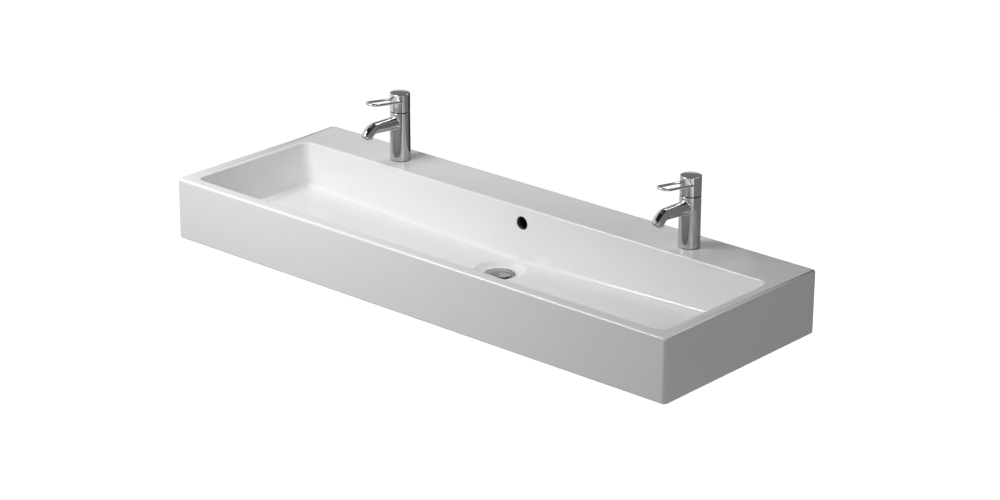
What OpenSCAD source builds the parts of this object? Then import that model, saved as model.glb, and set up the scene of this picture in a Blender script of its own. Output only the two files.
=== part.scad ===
// Wall-hung washbasin in one piece of glazed ceramic, with a flat deck that
// carries two single-lever taps, an overflow and a push-open waste.
// Sizes are in millimetres. The origin lies midway between the two wall
// fixing holes on the plane of the wall: +Y points into the wall, -Y to the
// person at the basin, and +Z up.

/* [Basin] */
// Overall width
basin_w = 1300; // [1150:10:1400]
// Depth from the wall to the front
basin_d = 470; // [440:5:520]
// Height of the skirt, from its foot to the rim
basin_h = 132; // [124:1:160]
// Height of the rim above the wall fixing holes
rim_rise = 72; // [60:1:85]
// Thickness of the skirt and of the bowl's walls
wall_t = 10; // [8:0.5:12]
// Thickness of the deck and of the rims
deck_t = 14; // [11:0.5:18]
// Radius of the four upright outer corners
corner_r = 10; // [7:0.5:20]
// Radius of the edge between the rim and the skirt
rim_edge_r = 5; // [2:0.5:6]
// Radius of the edge round the skirt's foot
foot_edge_r = 4; // [2:0.5:6]

/* [Bowl] */
// Width of the rim at each end of the bowl
rim_side = 32; // [28:1:60]
// Width of the rim in front of the bowl
rim_front = 28; // [24:1:50]
// Depth of the tap deck, from the wall to the bowl
deck_d = 118; // [112:1:140]
// Depth of the bowl at its two ends
bowl_depth_end = 98; // [80:1:105]
// Depth of the bowl on its middle line
bowl_depth_mid = 118; // [106:1:124]
// Radius of the bowl's upright corners
bowl_corner_r = 22; // [14:1:40]
// Radius between the bowl's walls and its floor
bowl_floor_r = 9; // [5:0.5:12]
// Radius of the bowl's top edge
bowl_edge_r = 4; // [2:0.5:6]
// How much each wall of the bowl leans in towards the floor
bowl_draft = 3; // [1:0.5:6]

/* [Waste] */
// Distance from the wall to the middle of the waste
waste_setback = 186; // [180:1:260]
// Diameter of the shallow dish round the waste
dish_d = 104; // [80:1:110]
// Depth of that dish below the floor
dish_depth = 8; // [5:0.5:12]
// Diameter of the waste hole in the ceramic
waste_hole_d = 46; // [45:0.5:48]
// Height of ceramic that the waste clamps
waste_grip = 45; // [40:1:55]
// Diameter of the boss round the waste hole
boss_d = 84; // [76:1:92]
// Diameter of the waste's visible flange
flange_d = 63; // [58:0.5:66]
// Thickness of the flange at its root
flange_t = 3; // [2:0.2:4]
// Outside diameter of the waste's thread, G 1 1/4
thread_d = 41.9; // [38:0.1:42]
// Wall of the waste's tube
tube_wall = 2.8; // [2:0.1:4]
// Length of thread left free for a trap
thread_free = 30; // [20:1:50]
// Width of the groove between that thread and the back nut
relief_w = 1.5; // [1:0.5:3]
// Depth of that groove
relief_depth = 0.8; // [0.5:0.1:1]
// Diameter of the plug
plug_d = 50; // [46:0.5:54]
// Height of the plug's crown
plug_crown = 3.4; // [2:0.2:6]
// Diameter of the plug's stem
stem_d = 7.3; // [6:0.1:9]
// Thickness of the seal under the flange
top_seal_t = 1; // [0.6:0.1:2]
// Thickness of the seal under the boss
bottom_seal_t = 6; // [4:0.5:8]
// Height of the back nut
backnut_h = 9.5; // [8:0.5:14]

/* [Overflow] */
// Diameter of the overflow hole
overflow_d = 28; // [20:1:32]
// Depth of its middle below the rim
overflow_drop = 35; // [32:1:44]
// Inside width of the overflow duct
duct_w = 40; // [34:1:60]
// Inside depth of the duct
duct_gap = 14; // [10:1:18]
// Thickness of the duct's wall
duct_wall = 8; // [6:0.5:10]
// Height of the passage from the duct to the waste hole
passage_h = 12; // [8:1:16]

/* [Wall fixing] */
// Distance between the two fixing holes
fixing_pitch = 280; // [180:5:320]
// Diameter of each fixing hole
fixing_d = 16; // [12:0.5:20]
// Width of the thick pad round each hole
pad_w = 56; // [40:1:70]
// Extra thickness of that pad
pad_t = 8; // [4:0.5:12]

/* [Tap] */
// Distance of each tap from the middle of the basin
tap_x = 388; // [200:1:480]
// Distance from the wall to the middle of each tap
tap_setback = 66; // [60:1:72]
// Diameter of the tap hole
tap_hole_d = 35; // [33:0.5:36]
// Diameter of the tap's body where it meets the handle
tap_d = 43; // [42.6:0.2:46]
// Diameter of the body's foot
tap_foot_d = 44.5; // [43:0.5:50]
// Height of the body above the deck, up to the split line
body_h = 107; // [104:1:125]
// Thickness of the gasket under the foot
gasket_t = 1.2; // [0.8:0.1:2]

/* [Spout] */
// Height of the split line above the spout's centre line at its root
spout_drop = 23; // [20:0.5:26]
// Upward slope of its straight part
spout_rise = 3; // [0:0.5:6]
// Length of the straight part, from the middle of the body
spout_run = 77; // [60:1:110]
// Radius of its centre line at the bend
bend_r = 26; // [20:1:40]
// How far the bend turns down
bend_turn = 48; // [30:1:70]
// Length of the straight nose after the bend
nose_l = 9; // [9:0.5:20]
// Diameter of the spout at its root
spout_root_d = 29; // [26:0.5:30]
// Diameter of the spout at its nose
spout_tip_d = 24.4; // [24:0.2:26]
// Diameter of the waterway inside
waterway_d = 14; // [10:0.5:15]
// Thickness of the aerator's visible ring
aerator_lip = 3; // [2:0.5:5]

/* [Handle] */
// Height of the handle's cap above the split line
cap_h = 42; // [40:1:55]
// Width of the split line
split_gap = 0.8; // [0.7:0.1:1.5]
// Height of the split line above the handle's tilt axis
pivot_drop = 10; // [9:0.5:12]
// Radius of the cap's top edge
cap_edge_r = 1.6; // [0.5:0.1:4]
// Height of the slight dome on top of the cap
cap_crown = 1.8; // [0.5:0.1:4]
// Height of the hollow in the cap above the split line
cap_hollow_h = 17.5; // [16:0.5:18]
// Thickness of the cap's wall
cap_wall = 3.5; // [2.5:0.1:4]
// Height of the lever's loop above the split line at the middle of the tap
loop_rise = 24; // [23:0.5:27]
// Upward slope of the loop
loop_tilt = 8; // [4:1:14]
// Diameter of the loop's rod
rod_d = 5.5; // [4.5:0.1:6]
// Width of the loop between the rod's centre lines
loop_w = 29; // [24:0.5:31]
// Reach of the loop from the middle of the tap
loop_reach = 95.5; // [70:0.5:120]
// Largest tilt of the handle, which opens the tap fully
tilt_max = 25; // [15:1:25]

/* [Cartridge] */
// Diameter of the cartridge
cartridge_d = 34.4; // [34:0.1:34.6]
// Diameter of the rotating carrier in its bearing
carrier_d = 21; // [20.6:0.1:21.4]
// Width of the square spindle
spindle_w = 8; // [7:0.1:8.2]
// Diameter of the spindle's hinge pin
pin_d = 3.2; // [2.6:0.1:3.4]
// Diameter of the ball that drives the moving disc
ball_d = 6; // [5:0.1:6.2]
// Depth of the ball's centre below the tilt axis
ball_drop = 14; // [13.6:0.1:14.2]
// Thickness of the fixed ceramic disc
fixed_disc_t = 5; // [3:0.5:6]
// Diameter of the moving ceramic disc
moving_disc_d = 15.4; // [15:0.1:16]

/* [Tap fixing] */
// Diameter of the fixing stud
stud_d = 8; // [6:0.5:8]
// Length of the stud below the deck's top
stud_drop = 46; // [42:1:70]
// Distance of the stud in front of the middle of the tap
stud_y = 11.5; // [11:0.1:12]
// Diameter of each threaded hose inlet
inlet_d = 9; // [8:0.1:10]
// Depth of each inlet's thread
inlet_l = 14; // [10:1:20]
// Distance between the two inlets
inlet_pitch = 14; // [12:0.5:15]
// Outside diameter of the horseshoe washers
horseshoe_d = 48; // [44:1:52]
// Thickness of the rubber horseshoe
rubber_t = 3; // [2:0.5:5]
// Thickness of the steel horseshoe
steel_t = 2.5; // [1.5:0.5:4]
// Height of the fixing nut
nut_h = 8; // [6:0.5:12]

/* [Hidden] */
$fn = 64;

// Every cut runs this far past the face it opens.
over = 1;
// Gap between pieces that move past each other.
play = 0.3;
// Round sections that follow each other lap by this length, the inner one
// smaller by this step.
lap = 0.5;
lap_step = 0.05;
// Radial clearance of a shaft in its bearing.
running = 0.08;
// Radial clearance of a threaded or pushed-in piece.
seat = 0.15;

// Levels and lines of the ceramic.
rim_z = rim_rise;
foot_z = rim_z - basin_h;
bowl_half = basin_w / 2 - rim_side;
bowl_back = -deck_d;
bowl_front = rim_front - basin_d;
bowl_mid_y = (bowl_back + bowl_front) / 2;
bowl_l = bowl_back - bowl_front;
floor_end_z = rim_z - bowl_depth_end;
floor_mid_z = rim_z - bowl_depth_mid;

// The waste, from the top of its flange down.
flange_z = floor_mid_z - dish_depth;
recess_depth = flange_t + top_seal_t;
recess_d = flange_d + 3;
tube_bore_d = thread_d - 2 * tube_wall;
washer_t = 1.5;
backnut_top = waste_grip + bottom_seal_t + washer_t;
tube_l = backnut_top + backnut_h + relief_w + thread_free;
backnut_d = thread_d + 20;

// The overflow duct runs down the back of the bowl and forward to the waste.
duct_front = bowl_back + wall_t;
duct_back = duct_front + duct_gap;
passage_top = flange_z - recess_depth - duct_wall;
passage_floor = passage_top - passage_h;

// The tap's own origin is on the deck in the middle of its hole.
body_r = tap_d / 2;
spout_z = body_h - spout_drop;
loop_z = body_h + loop_rise;
chamber_r = cartridge_d / 2 + seat;
pivot_z = body_h - pivot_drop;
dome_r = sqrt(pow(body_r, 2) + pow(pivot_drop, 2));
cap_ball_r = sqrt(pow(body_r, 2) + pow(pivot_drop + split_gap, 2));
cap_foot_z = body_h + split_gap;
cap_top_z = body_h + cap_h;
cap_hollow_z = body_h + cap_hollow_h;

// The cartridge is stacked downwards from the tilt axis.
carrier_top_z = pivot_z + 4.5;
carrier_flange_z = pivot_z - 9;
carrier_foot_z = carrier_flange_z - 2.5;
carrier_flange_d = carrier_d + 6.2;
housing_neck_z = carrier_flange_z + 2.5;
housing_top_z = pivot_z + 3;
housing_neck_d = carrier_d + 5.4;
disc_room_d = cartridge_d - 5.6;
ball_z = pivot_z - ball_drop;
moving_disc_top = carrier_foot_z - 0.5;
moving_disc_z = ball_z - ball_d / 2 - 1;
disc_gap = 0.05;
fixed_disc_z = moving_disc_z - disc_gap - fixed_disc_t;
base_t = 12;
chamber_z = fixed_disc_z - base_t;
base_foot_t = 4;
way_d = 7;
spindle_top_z = cap_hollow_z + 9.5;
screw_z = cap_hollow_z + 5.5;
nut_ring_h = 10;
dome_hole_r = dome_r * sin(tilt_max) + spindle_w / 2 * cos(tilt_max) + 0.9;
port_x = 3.8;
port_y = 3;
port_d = 4;

// The aerator screws into the nose of the spout.
aerator_d = spout_tip_d - 3.8;
aerator_l = 8;
insert_d = aerator_d - 2.9;

// Plan of a rounded rectangle of width w and depth d, centred.
module rounded_rect(w, d, r) {
    square([w - 2 * r, d], center = true);
    square([w, d - 2 * r], center = true);
    for (sx = [-1, 1], sy = [-1, 1])
        translate([sx * (w / 2 - r), sy * (d / 2 - r)])
            circle(r);
}

// Carries a profile round a rounded rectangle. The profile's x points
// outwards from the outline and its y points up.
module sweep_rect(w, d, r) {
    for (s = [0:3]) {
        across = s % 2 == 0 ? w : d;
        along = s % 2 == 0 ? d : w;
        rotate([0, 0, 90 * s]) {
            translate([across / 2, along / 2 - r, 0])
                rotate([90, 0, 0])
                    linear_extrude(along - 2 * r)
                        children();
            translate([across / 2 - r, along / 2 - r, 0])
                rotate_extrude(angle = 90)
                    translate([r, 0])
                        children();
        }
    }
}

// What a fillet of radius e takes off an edge. The edge is at the profile's
// origin, with the solid on its -x side and below it.
module edge_profile(e) {
    difference() {
        translate([-e, -e])
            square(e + over);
        translate([-e, -e])
            circle(e);
    }
}

// The same ring of material, taken off the top edge of a cylinder.
module ring_edge(r, e) {
    rotate_extrude()
        translate([r, 0])
            edge_profile(e);
}

// A shallow dome of height h on a round base of radius r.
module crown(r, h) {
    ball_r = (pow(r, 2) + pow(h, 2)) / (2 * h);
    rotate_extrude()
        intersection() {
            translate([0, h - ball_r])
                circle(ball_r, $fn = 360);
            translate([0, -over / 2])
                square([r, h + over]);
        }
}

module tube(r_out, r_in, h) {
    difference() {
        cylinder(r = r_out, h = h);
        translate([0, 0, -over])
            cylinder(r = r_in, h = h + 2 * over);
    }
}

// Places a child over the middle of the basin's plan.
module over_basin(z) {
    translate([0, -basin_d / 2, z])
        children();
}

// The inside of the bowl, or with grow the outside of its walls: upright
// corners, walls that lean in, and a floor that falls to its middle line.
module bowl_form(grow) {
    top_r = bowl_corner_r + grow;
    floor_r = bowl_floor_r + grow;
    lean = bowl_draft;
    half_l = bowl_l / 2 + grow;
    half_w = bowl_half + grow;
    top_z = grow > 0 ? rim_z - deck_t / 2 : rim_z + over;
    hull($fn = 32) {
        for (sx = [-1, 1], sy = [-1, 1]) {
            translate([sx * (half_w - top_r), bowl_mid_y + sy * (half_l - top_r), top_z - over])
                cylinder(r = top_r, h = over);
            translate([sx * (half_w - top_r - lean), bowl_mid_y + sy * (half_l - top_r - lean),
                    floor_end_z - grow + floor_r])
                rotate_extrude()
                    intersection() {
                        translate([top_r - floor_r, 0])
                            circle(floor_r);
                        translate([0, -floor_r])
                            square([top_r, floor_r]);
                    }
        }
        for (sy = [-1, 1])
            translate([0, bowl_mid_y + sy * (half_l - floor_r - lean), floor_mid_z - grow + floor_r])
                rotate([0, 90, 0])
                    cylinder(r = floor_r, h = 2, center = true);
    }
}

// Dish, recess and hole of the waste, cut from the floor.
module waste_cut() {
    slope = (dish_d - recess_d) / 2 / dish_depth;
    above = 2;
    translate([0, -waste_setback, flange_z]) {
        cylinder(r1 = recess_d / 2, r2 = dish_d / 2 + slope * above, h = dish_depth + above);
        translate([0, 0, -recess_depth])
            cylinder(d = recess_d, h = recess_depth + over);
        translate([0, 0, -waste_grip - over])
            cylinder(d = waste_hole_d, h = waste_grip + over);
    }
}

// Thick ceramic under the dish, and the boss that the waste clamps.
module waste_boss() {
    spread = 8;
    translate([0, -waste_setback, flange_z - waste_grip])
        cylinder(d1 = boss_d - 4, d2 = boss_d, h = waste_grip);
    translate([0, -waste_setback, passage_top])
        cylinder(r1 = boss_d / 2, r2 = dish_d / 2 + spread, h = floor_mid_z - wall_t / 2 - passage_top);
}

// The overflow duct as a solid, or with cut as the space inside it.
module duct(cut) {
    wall = cut ? 0 : duct_wall;
    w = duct_w + 2 * wall;
    top = cut ? rim_z - deck_t - 2 : rim_z - deck_t / 2;
    inner = cut ? -waste_setback : -waste_setback + waste_hole_d / 2;
    reach = cut ? duct_front - 0.01 : duct_front - wall_t / 2;
    translate([-w / 2, reach, passage_floor - wall])
        cube([w, duct_back + wall - reach, top - passage_floor + wall]);
    translate([-w / 2, inner, passage_floor - wall])
        cube([w, duct_back - inner, passage_h + wall + (cut ? 0 : duct_wall)]);
}

module basin() {
    inner_w = basin_w - 2 * wall_t;
    inner_d = basin_d - 2 * wall_t;
    color("white")
    difference() {
        union() {
            difference() {
                over_basin(foot_z)
                    linear_extrude(basin_h)
                        rounded_rect(basin_w, basin_d, corner_r);
                over_basin(foot_z - over)
                    linear_extrude(basin_h - deck_t + over)
                        rounded_rect(inner_w, inner_d, corner_r / 2);
            }
            bowl_form(wall_t);
            waste_boss();
            duct(false);
            for (sx = [-1, 1])
                translate([sx * fixing_pitch / 2 - pad_w / 2, -wall_t - pad_t, -pad_w / 2])
                    cube([pad_w, wall_t / 2 + pad_t, pad_w]);
        }
        bowl_form(0);
        waste_cut();
        duct(true);
        over_basin(rim_z)
            sweep_rect(basin_w, basin_d, corner_r)
                edge_profile(rim_edge_r);
        over_basin(foot_z)
            sweep_rect(basin_w, basin_d, corner_r)
                mirror([0, 1])
                    edge_profile(foot_edge_r);
        translate([0, bowl_mid_y, rim_z])
            sweep_rect(2 * bowl_half, bowl_l, bowl_corner_r)
                mirror([1, 0])
                    edge_profile(bowl_edge_r);
        translate([0, bowl_back + wall_t + over / 2, rim_z - overflow_drop])
            rotate([90, 0, 0])
                cylinder(d = overflow_d, h = wall_t + bowl_draft + over);
        for (sx = [-1, 1])
            translate([sx * fixing_pitch / 2, over, 0])
                rotate([90, 0, 0])
                    cylinder(d = fixing_d, h = wall_t + pad_t + 2 * over);
        for (side = [-1, 1])
            at_tap(side)
                translate([0, 0, -deck_t - over])
                    cylinder(d = tap_hole_d, h = deck_t + 2 * over);
    }
}

// Places a child at the waste, with its origin on top of the flange.
module at_waste() {
    translate([0, -waste_setback, flange_z])
        children();
}

module waste_body() {
    slot_w = 14;
    slot_h = 10;
    seat_drop = 1.6;
    color("silver")
    difference() {
        union() {
            translate([0, 0, -flange_t])
                cylinder(d = flange_d, h = flange_t);
            translate([0, 0, -tube_l])
                cylinder(d = thread_d, h = tube_l);
        }
        ring_edge(flange_d / 2, 1.5);
        translate([0, 0, thread_free - tube_l])
            tube(thread_d / 2 + over, thread_d / 2 - relief_depth, relief_w);
        translate([0, 0, -seat_drop])
            cylinder(r1 = tube_bore_d / 2 + 1.5, r2 = flange_d / 2 - 1.5, h = seat_drop + 0.01);
        translate([0, 0, -tube_l - over])
            cylinder(d = tube_bore_d, h = tube_l + 2 * over);
        for (a = [45:90:315])
            rotate([0, 0, a])
                translate([tube_bore_d / 2 - 2, -slot_w / 2, passage_floor - flange_z + 1])
                    cube([tube_wall + 4, slot_w, slot_h]);
    }
}

module waste_top_seal() {
    color("dimgray")
    translate([0, 0, -recess_depth])
        tube(flange_d / 2 - 1, waste_hole_d / 2, top_seal_t);
}

module waste_bottom_seal() {
    color("dimgray")
    translate([0, 0, -waste_grip - bottom_seal_t])
        difference() {
            cylinder(r1 = boss_d / 2 - 10, r2 = boss_d / 2 - 6, h = bottom_seal_t);
            translate([0, 0, -over])
                cylinder(d = thread_d + 2 * seat, h = bottom_seal_t + 2 * over);
        }
}

module waste_washer() {
    color("lightgray")
    translate([0, 0, -backnut_top])
        tube(boss_d / 2 - 9, thread_d / 2 + seat, washer_t);
}

module waste_backnut() {
    color("goldenrod")
    translate([0, 0, -backnut_top - backnut_h])
        difference() {
            cylinder(d = backnut_d / cos(30), h = backnut_h, $fn = 6);
            translate([0, 0, -over])
                cylinder(d = thread_d + 2 * seat, h = backnut_h + 2 * over);
        }
}

// The threaded ring, three arms and hub that guide and latch the plug's stem.
module waste_click_insert() {
    ring_r = tube_bore_d / 2 - seat;
    ring_h = 6;
    hub_r = 6.5;
    hub_h = 26;
    drop = 38;
    color("silver")
    translate([0, 0, -drop])
        difference() {
            union() {
                tube(ring_r, ring_r - 1.8, ring_h);
                cylinder(r = hub_r, h = hub_h);
                for (a = [0:120:240])
                    rotate([0, 0, a])
                        translate([0, -1.5, 0])
                            cube([ring_r - 1, 3, ring_h]);
            }
            translate([0, 0, -over])
                cylinder(d = stem_d + 2 * running, h = hub_h + 2 * over);
        }
}

module waste_plug() {
    rim_t = 1;
    lift = -0.4;
    boss_r = tube_bore_d / 2 - 2.3;
    boss_h = 3;
    stem_l = 36;
    color("silver") {
        translate([0, 0, lift])
            cylinder(d = plug_d, h = rim_t);
        translate([0, 0, lift + rim_t])
            crown(plug_d / 2, plug_crown);
        translate([0, 0, lift - boss_h])
            cylinder(r = boss_r, h = boss_h);
        translate([0, 0, -stem_l])
            cylinder(d = stem_d, h = stem_l);
    }
}

module waste_plug_seal() {
    color("dimgray")
    translate([0, 0, -2.8])
        tube(tube_bore_d / 2 - 0.4, tube_bore_d / 2 - 2.25, 2);
}

// Places a child at one of the taps: -1 is the left one, 1 the right one.
module at_tap(side) {
    translate([side * tap_x, -tap_setback, rim_z])
        children();
}

// Carries children to the end of the spout's straight part, where their z
// points along the spout and their y points up.
module at_bend() {
    translate([0, 0, spout_z])
        rotate([90 - spout_rise, 0, 0])
            translate([0, 0, spout_run])
                children();
}

// Carries children to the start of the nose, past the bend.
module at_nose() {
    at_bend()
        translate([0, -bend_r, 0])
            rotate([bend_turn, 0, 0])
                translate([0, bend_r, 0])
                    children();
}

module spout_bend(r) {
    at_bend()
        translate([0, -bend_r, 0])
            rotate([90, 0, 90])
                rotate_extrude(angle = bend_turn)
                    translate([bend_r, 0])
                        circle(r);
}

module spout() {
    translate([0, 0, spout_z])
        rotate([90 - spout_rise, 0, 0])
            cylinder(d1 = spout_root_d, d2 = spout_tip_d - 2 * lap_step, h = spout_run + lap);
    spout_bend(spout_tip_d / 2);
    at_nose()
        translate([0, 0, -lap])
            cylinder(d = spout_tip_d - 2 * lap_step, h = nose_l + lap);
}

module spout_waterway() {
    start = body_r / 2;
    translate([0, 0, spout_z])
        rotate([90 - spout_rise, 0, 0])
            translate([0, 0, start])
                cylinder(d = waterway_d - 2 * lap_step, h = spout_run + lap - start);
    spout_bend(waterway_d / 2);
    at_nose()
        translate([0, 0, -lap])
            cylinder(d = waterway_d - 2 * lap_step, h = nose_l + lap);
    at_nose()
        translate([0, 0, nose_l - aerator_l])
            cylinder(d = aerator_d, h = aerator_l + over);
}

// Places a child at each of the two hose inlets under the foot.
module at_inlets() {
    inlet_y = 5;
    for (sx = [-1, 1])
        translate([sx * inlet_pitch / 2, inlet_y, gasket_t])
            children();
}

// Places a child at each of the two ports under the moving disc.
module at_ports(z) {
    for (sx = [-1, 1])
        translate([sx * port_x, port_y, z])
            children();
}

module tap_body() {
    stud_grip = 12;
    color("gainsboro")
    difference() {
        union() {
            translate([0, 0, gasket_t])
                cylinder(d1 = tap_foot_d, d2 = tap_d, h = body_h - gasket_t);
            spout();
        }
        translate([0, 0, chamber_z])
            cylinder(r = chamber_r, h = body_h - chamber_z + over);
        spout_waterway();
        at_inlets() {
            translate([0, 0, -over])
                cylinder(d = inlet_d, h = inlet_l + over);
            cylinder(d = way_d, h = chamber_z - gasket_t + over);
        }
        translate([0, -stud_y, 0])
            cylinder(d = stud_d + 2 * seat, h = gasket_t + stud_grip);
    }
}

module base_gasket() {
    color("dimgray")
    tube(tap_foot_d / 2 - 1, tap_hole_d / 2 + 0.5, gasket_t);
}

// Ring that screws into the nose and shows as the spout's bright lip.
module aerator_housing() {
    ledge = 1;
    color("silver")
    at_nose()
        translate([0, 0, nose_l])
            difference() {
                union() {
                    cylinder(d = spout_tip_d - 0.8, h = aerator_lip);
                    translate([0, 0, -aerator_l + 0.5])
                        cylinder(d = aerator_d - 2 * seat, h = aerator_l);
                }
                translate([0, 0, -aerator_l])
                    cylinder(d = insert_d + 2 * seat, h = aerator_l + aerator_lip - ledge);
                translate([0, 0, -over])
                    cylinder(d = insert_d - 1.6, h = aerator_lip + 2 * over);
            }
}

// Stream former: a plastic cup with a grid of ribs across its mouth.
module aerator_insert() {
    cup_l = 7;
    rib = 0.8;
    pitch = 2.8;
    ledge = 1;
    color("whitesmoke")
    at_nose()
        translate([0, 0, nose_l + aerator_lip - ledge - cup_l]) {
            tube(insert_d / 2, insert_d / 2 - 1, cup_l);
            intersection() {
                cylinder(d = insert_d - 1, h = cup_l);
                for (k = [-3:3]) {
                    translate([k * pitch - rib / 2, -insert_d / 2, cup_l - 2])
                        cube([rib, insert_d, 1.5]);
                    translate([-insert_d / 2, k * pitch - rib / 2, cup_l - 2])
                        cube([insert_d, rib, 1.5]);
                }
            }
        }
}

module cartridge_housing() {
    outlet_d = 6;
    ledge_z = chamber_z + base_foot_t;
    color("white")
    difference() {
        union() {
            translate([0, 0, chamber_z])
                cylinder(d = cartridge_d, h = housing_neck_z - chamber_z);
            translate([0, 0, chamber_z])
                cylinder(d = housing_neck_d, h = housing_top_z - chamber_z);
        }
        translate([0, 0, chamber_z - over])
            cylinder(d = disc_room_d + 1.2, h = base_foot_t + over);
        translate([0, 0, ledge_z - over])
            cylinder(d = disc_room_d, h = carrier_flange_z - play - 2 - ledge_z + over);
        translate([0, 0, carrier_foot_z - over])
            cylinder(d = carrier_flange_d + 2 * play, h = carrier_flange_z - carrier_foot_z + over + play);
        translate([0, 0, ledge_z])
            cylinder(d = carrier_d + 2 * running, h = housing_top_z - ledge_z + over);
        translate([0, 0, (fixed_disc_z + fixed_disc_t + carrier_foot_z) / 2])
            rotate([90, 0, 0])
                cylinder(d = outlet_d, h = cartridge_d);
    }
}

// Foot of the cartridge, with the two inlet ports under the fixed disc.
module cartridge_base() {
    color("lightgray")
    difference() {
        union() {
            translate([0, 0, chamber_z])
                cylinder(d = disc_room_d + 1.2 - 2 * seat, h = base_foot_t);
            translate([0, 0, chamber_z])
                cylinder(d = disc_room_d - 2 * seat, h = base_t);
        }
        translate([0, 0, chamber_z - gasket_t])
            at_inlets()
                translate([0, 0, -over])
                    cylinder(d = way_d, h = base_foot_t + over);
        at_ports(chamber_z)
            cylinder(d = port_d, h = base_t + over);
    }
}

module fixed_disc() {
    color("whitesmoke")
    translate([0, 0, fixed_disc_z])
        difference() {
            cylinder(d = disc_room_d - 0.6, h = fixed_disc_t);
            at_ports(-over)
                cylinder(d = port_d, h = fixed_disc_t + 2 * over);
        }
}

// Slides on the fixed disc, driven by the spindle's ball in its socket.
module moving_disc() {
    color("whitesmoke")
    difference() {
        translate([0, 0, moving_disc_z])
            cylinder(d = moving_disc_d, h = moving_disc_top - moving_disc_z);
        translate([0, 0, ball_z - ball_d / 2 - play])
            cylinder(d = ball_d + 2 * play + 0.1, h = ball_d + 4);
    }
}

// Turns in the housing with the handle and holds the pin it tilts on.
module spindle_carrier() {
    slot_w = spindle_w + 0.6;
    slot_l = 15;
    foot_slot_l = 18.6;
    color("gray")
    difference() {
        union() {
            translate([0, 0, carrier_foot_z])
                cylinder(d = carrier_d, h = carrier_top_z - carrier_foot_z);
            translate([0, 0, carrier_foot_z])
                cylinder(d = carrier_flange_d, h = carrier_flange_z - carrier_foot_z);
        }
        translate([-slot_w / 2, -slot_l / 2, carrier_foot_z - over])
            cube([slot_w, slot_l, carrier_top_z - carrier_foot_z + 2 * over]);
        translate([-slot_w / 2, -foot_slot_l / 2, carrier_foot_z - over])
            cube([slot_w, foot_slot_l, carrier_flange_z - carrier_foot_z + over]);
        pin_hole(pin_d / 2 + 0.02);
    }
}

module pin_hole(r) {
    translate([-carrier_d, 0, pivot_z])
        rotate([0, 90, 0])
            cylinder(r = r, h = 2 * carrier_d);
}

module spindle_pin() {
    pin_l = carrier_d - 2;
    color("silver")
    translate([-pin_l / 2, 0, pivot_z])
        rotate([0, 90, 0])
            cylinder(d = pin_d, h = pin_l);
}

// Square stem that the cap grips, hinged on the pin, with a ball below it.
module spindle() {
    knee = 4;
    arm_d = 5;
    color("silver")
    difference() {
        union() {
            translate([-spindle_w / 2, -spindle_w / 2, pivot_z - knee])
                cube([spindle_w, spindle_w, spindle_top_z - pivot_z + knee]);
            translate([0, 0, ball_z])
                cylinder(d = arm_d, h = ball_drop - knee + 0.5);
            translate([0, 0, ball_z])
                sphere(d = ball_d);
        }
        pin_hole(pin_d / 2 + running);
    }
}

// Brass ring that clamps the cartridge, with notches for its key.
module cartridge_nut() {
    notch = 3;
    inner_d = housing_neck_d + 0.6;
    color("goldenrod")
    translate([0, 0, housing_neck_z])
        difference() {
            tube(chamber_r - seat, inner_d / 2, nut_ring_h);
            for (a = [0:60:300])
                rotate([0, 0, a])
                    translate([inner_d / 2 - 1, -notch / 2, nut_ring_h - notch])
                        cube([2.6, notch, notch + over]);
        }
}

// Ball-shaped collar on the body that the handle's cap glides over.
module dome_ring() {
    shell = 2.2;
    skirt_foot_z = housing_neck_z + nut_ring_h + 0.5;
    skirt_r = chamber_r - seat;
    color("silver")
    difference() {
        union() {
            intersection() {
                translate([0, 0, pivot_z])
                    sphere(dome_r);
                translate([0, 0, body_h])
                    cylinder(r = body_r, h = dome_r);
            }
            translate([0, 0, skirt_foot_z])
                cylinder(r = skirt_r, h = body_h - skirt_foot_z + 0.5);
        }
        intersection() {
            translate([0, 0, pivot_z])
                sphere(dome_r - shell);
            translate([0, 0, body_h + 1.5])
                cylinder(r = body_r, h = dome_r);
        }
        translate([0, 0, skirt_foot_z - over])
            cylinder(r = dome_hole_r, h = cap_h);
    }
}

module handle_cap() {
    boss_r = 9;
    socket = spindle_w + 0.2;
    color("gainsboro")
    difference() {
        union() {
            translate([0, 0, body_h])
                cylinder(r = body_r, h = cap_h - cap_crown);
            translate([0, 0, cap_top_z - cap_crown])
                crown(body_r, cap_crown);
        }
        translate([0, 0, pivot_z])
            sphere(cap_ball_r);
        difference() {
            translate([0, 0, body_h - over])
                cylinder(r = body_r - cap_wall, h = cap_hollow_h + over);
            translate([0, 0, body_h - 2 * over])
                cylinder(r = boss_r, h = cap_hollow_h + 4 * over);
        }
        translate([0, 0, cap_top_z - cap_crown])
            ring_edge(body_r, cap_edge_r);
        translate([-socket / 2, -socket / 2, body_h])
            cube([socket, socket, spindle_top_z - body_h + 0.2]);
        loop_rods(rod_d / 2 + 0.05, 0.1);
        screw_hole();
    }
}

// Grub screw hole at the back of the cap, with a wider mouth for its plug.
module screw_hole() {
    translate([0, 0, screw_z])
        rotate([-90, 0, 0]) {
            cylinder(d = 5.2, h = body_r + over);
            translate([0, 0, body_r - 4.5])
                cylinder(d = 7.2, h = 4.5 + over);
        }
}

// The two straight rods of the loop, from inside the cap to its round end.
module loop_rods(r, extra) {
    root = 6;
    translate([0, 0, loop_z])
        rotate([-loop_tilt, 0, 0])
            for (s = [-1, 1])
                translate([s * loop_w / 2, -root + extra, 0])
                    rotate([90, 0, 0])
                        cylinder(r = r, h = loop_reach - loop_w / 2 - root + extra);
}

module lever_loop() {
    color("gainsboro") {
        loop_rods(rod_d / 2, 0);
        translate([0, 0, loop_z])
            rotate([-loop_tilt, 0, 0])
                translate([0, loop_w / 2 - loop_reach, 0])
                    rotate([0, 0, 180])
                        rotate_extrude(angle = 180)
                            translate([loop_w / 2, 0])
                                circle(rod_d / 2);
    }
}

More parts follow.
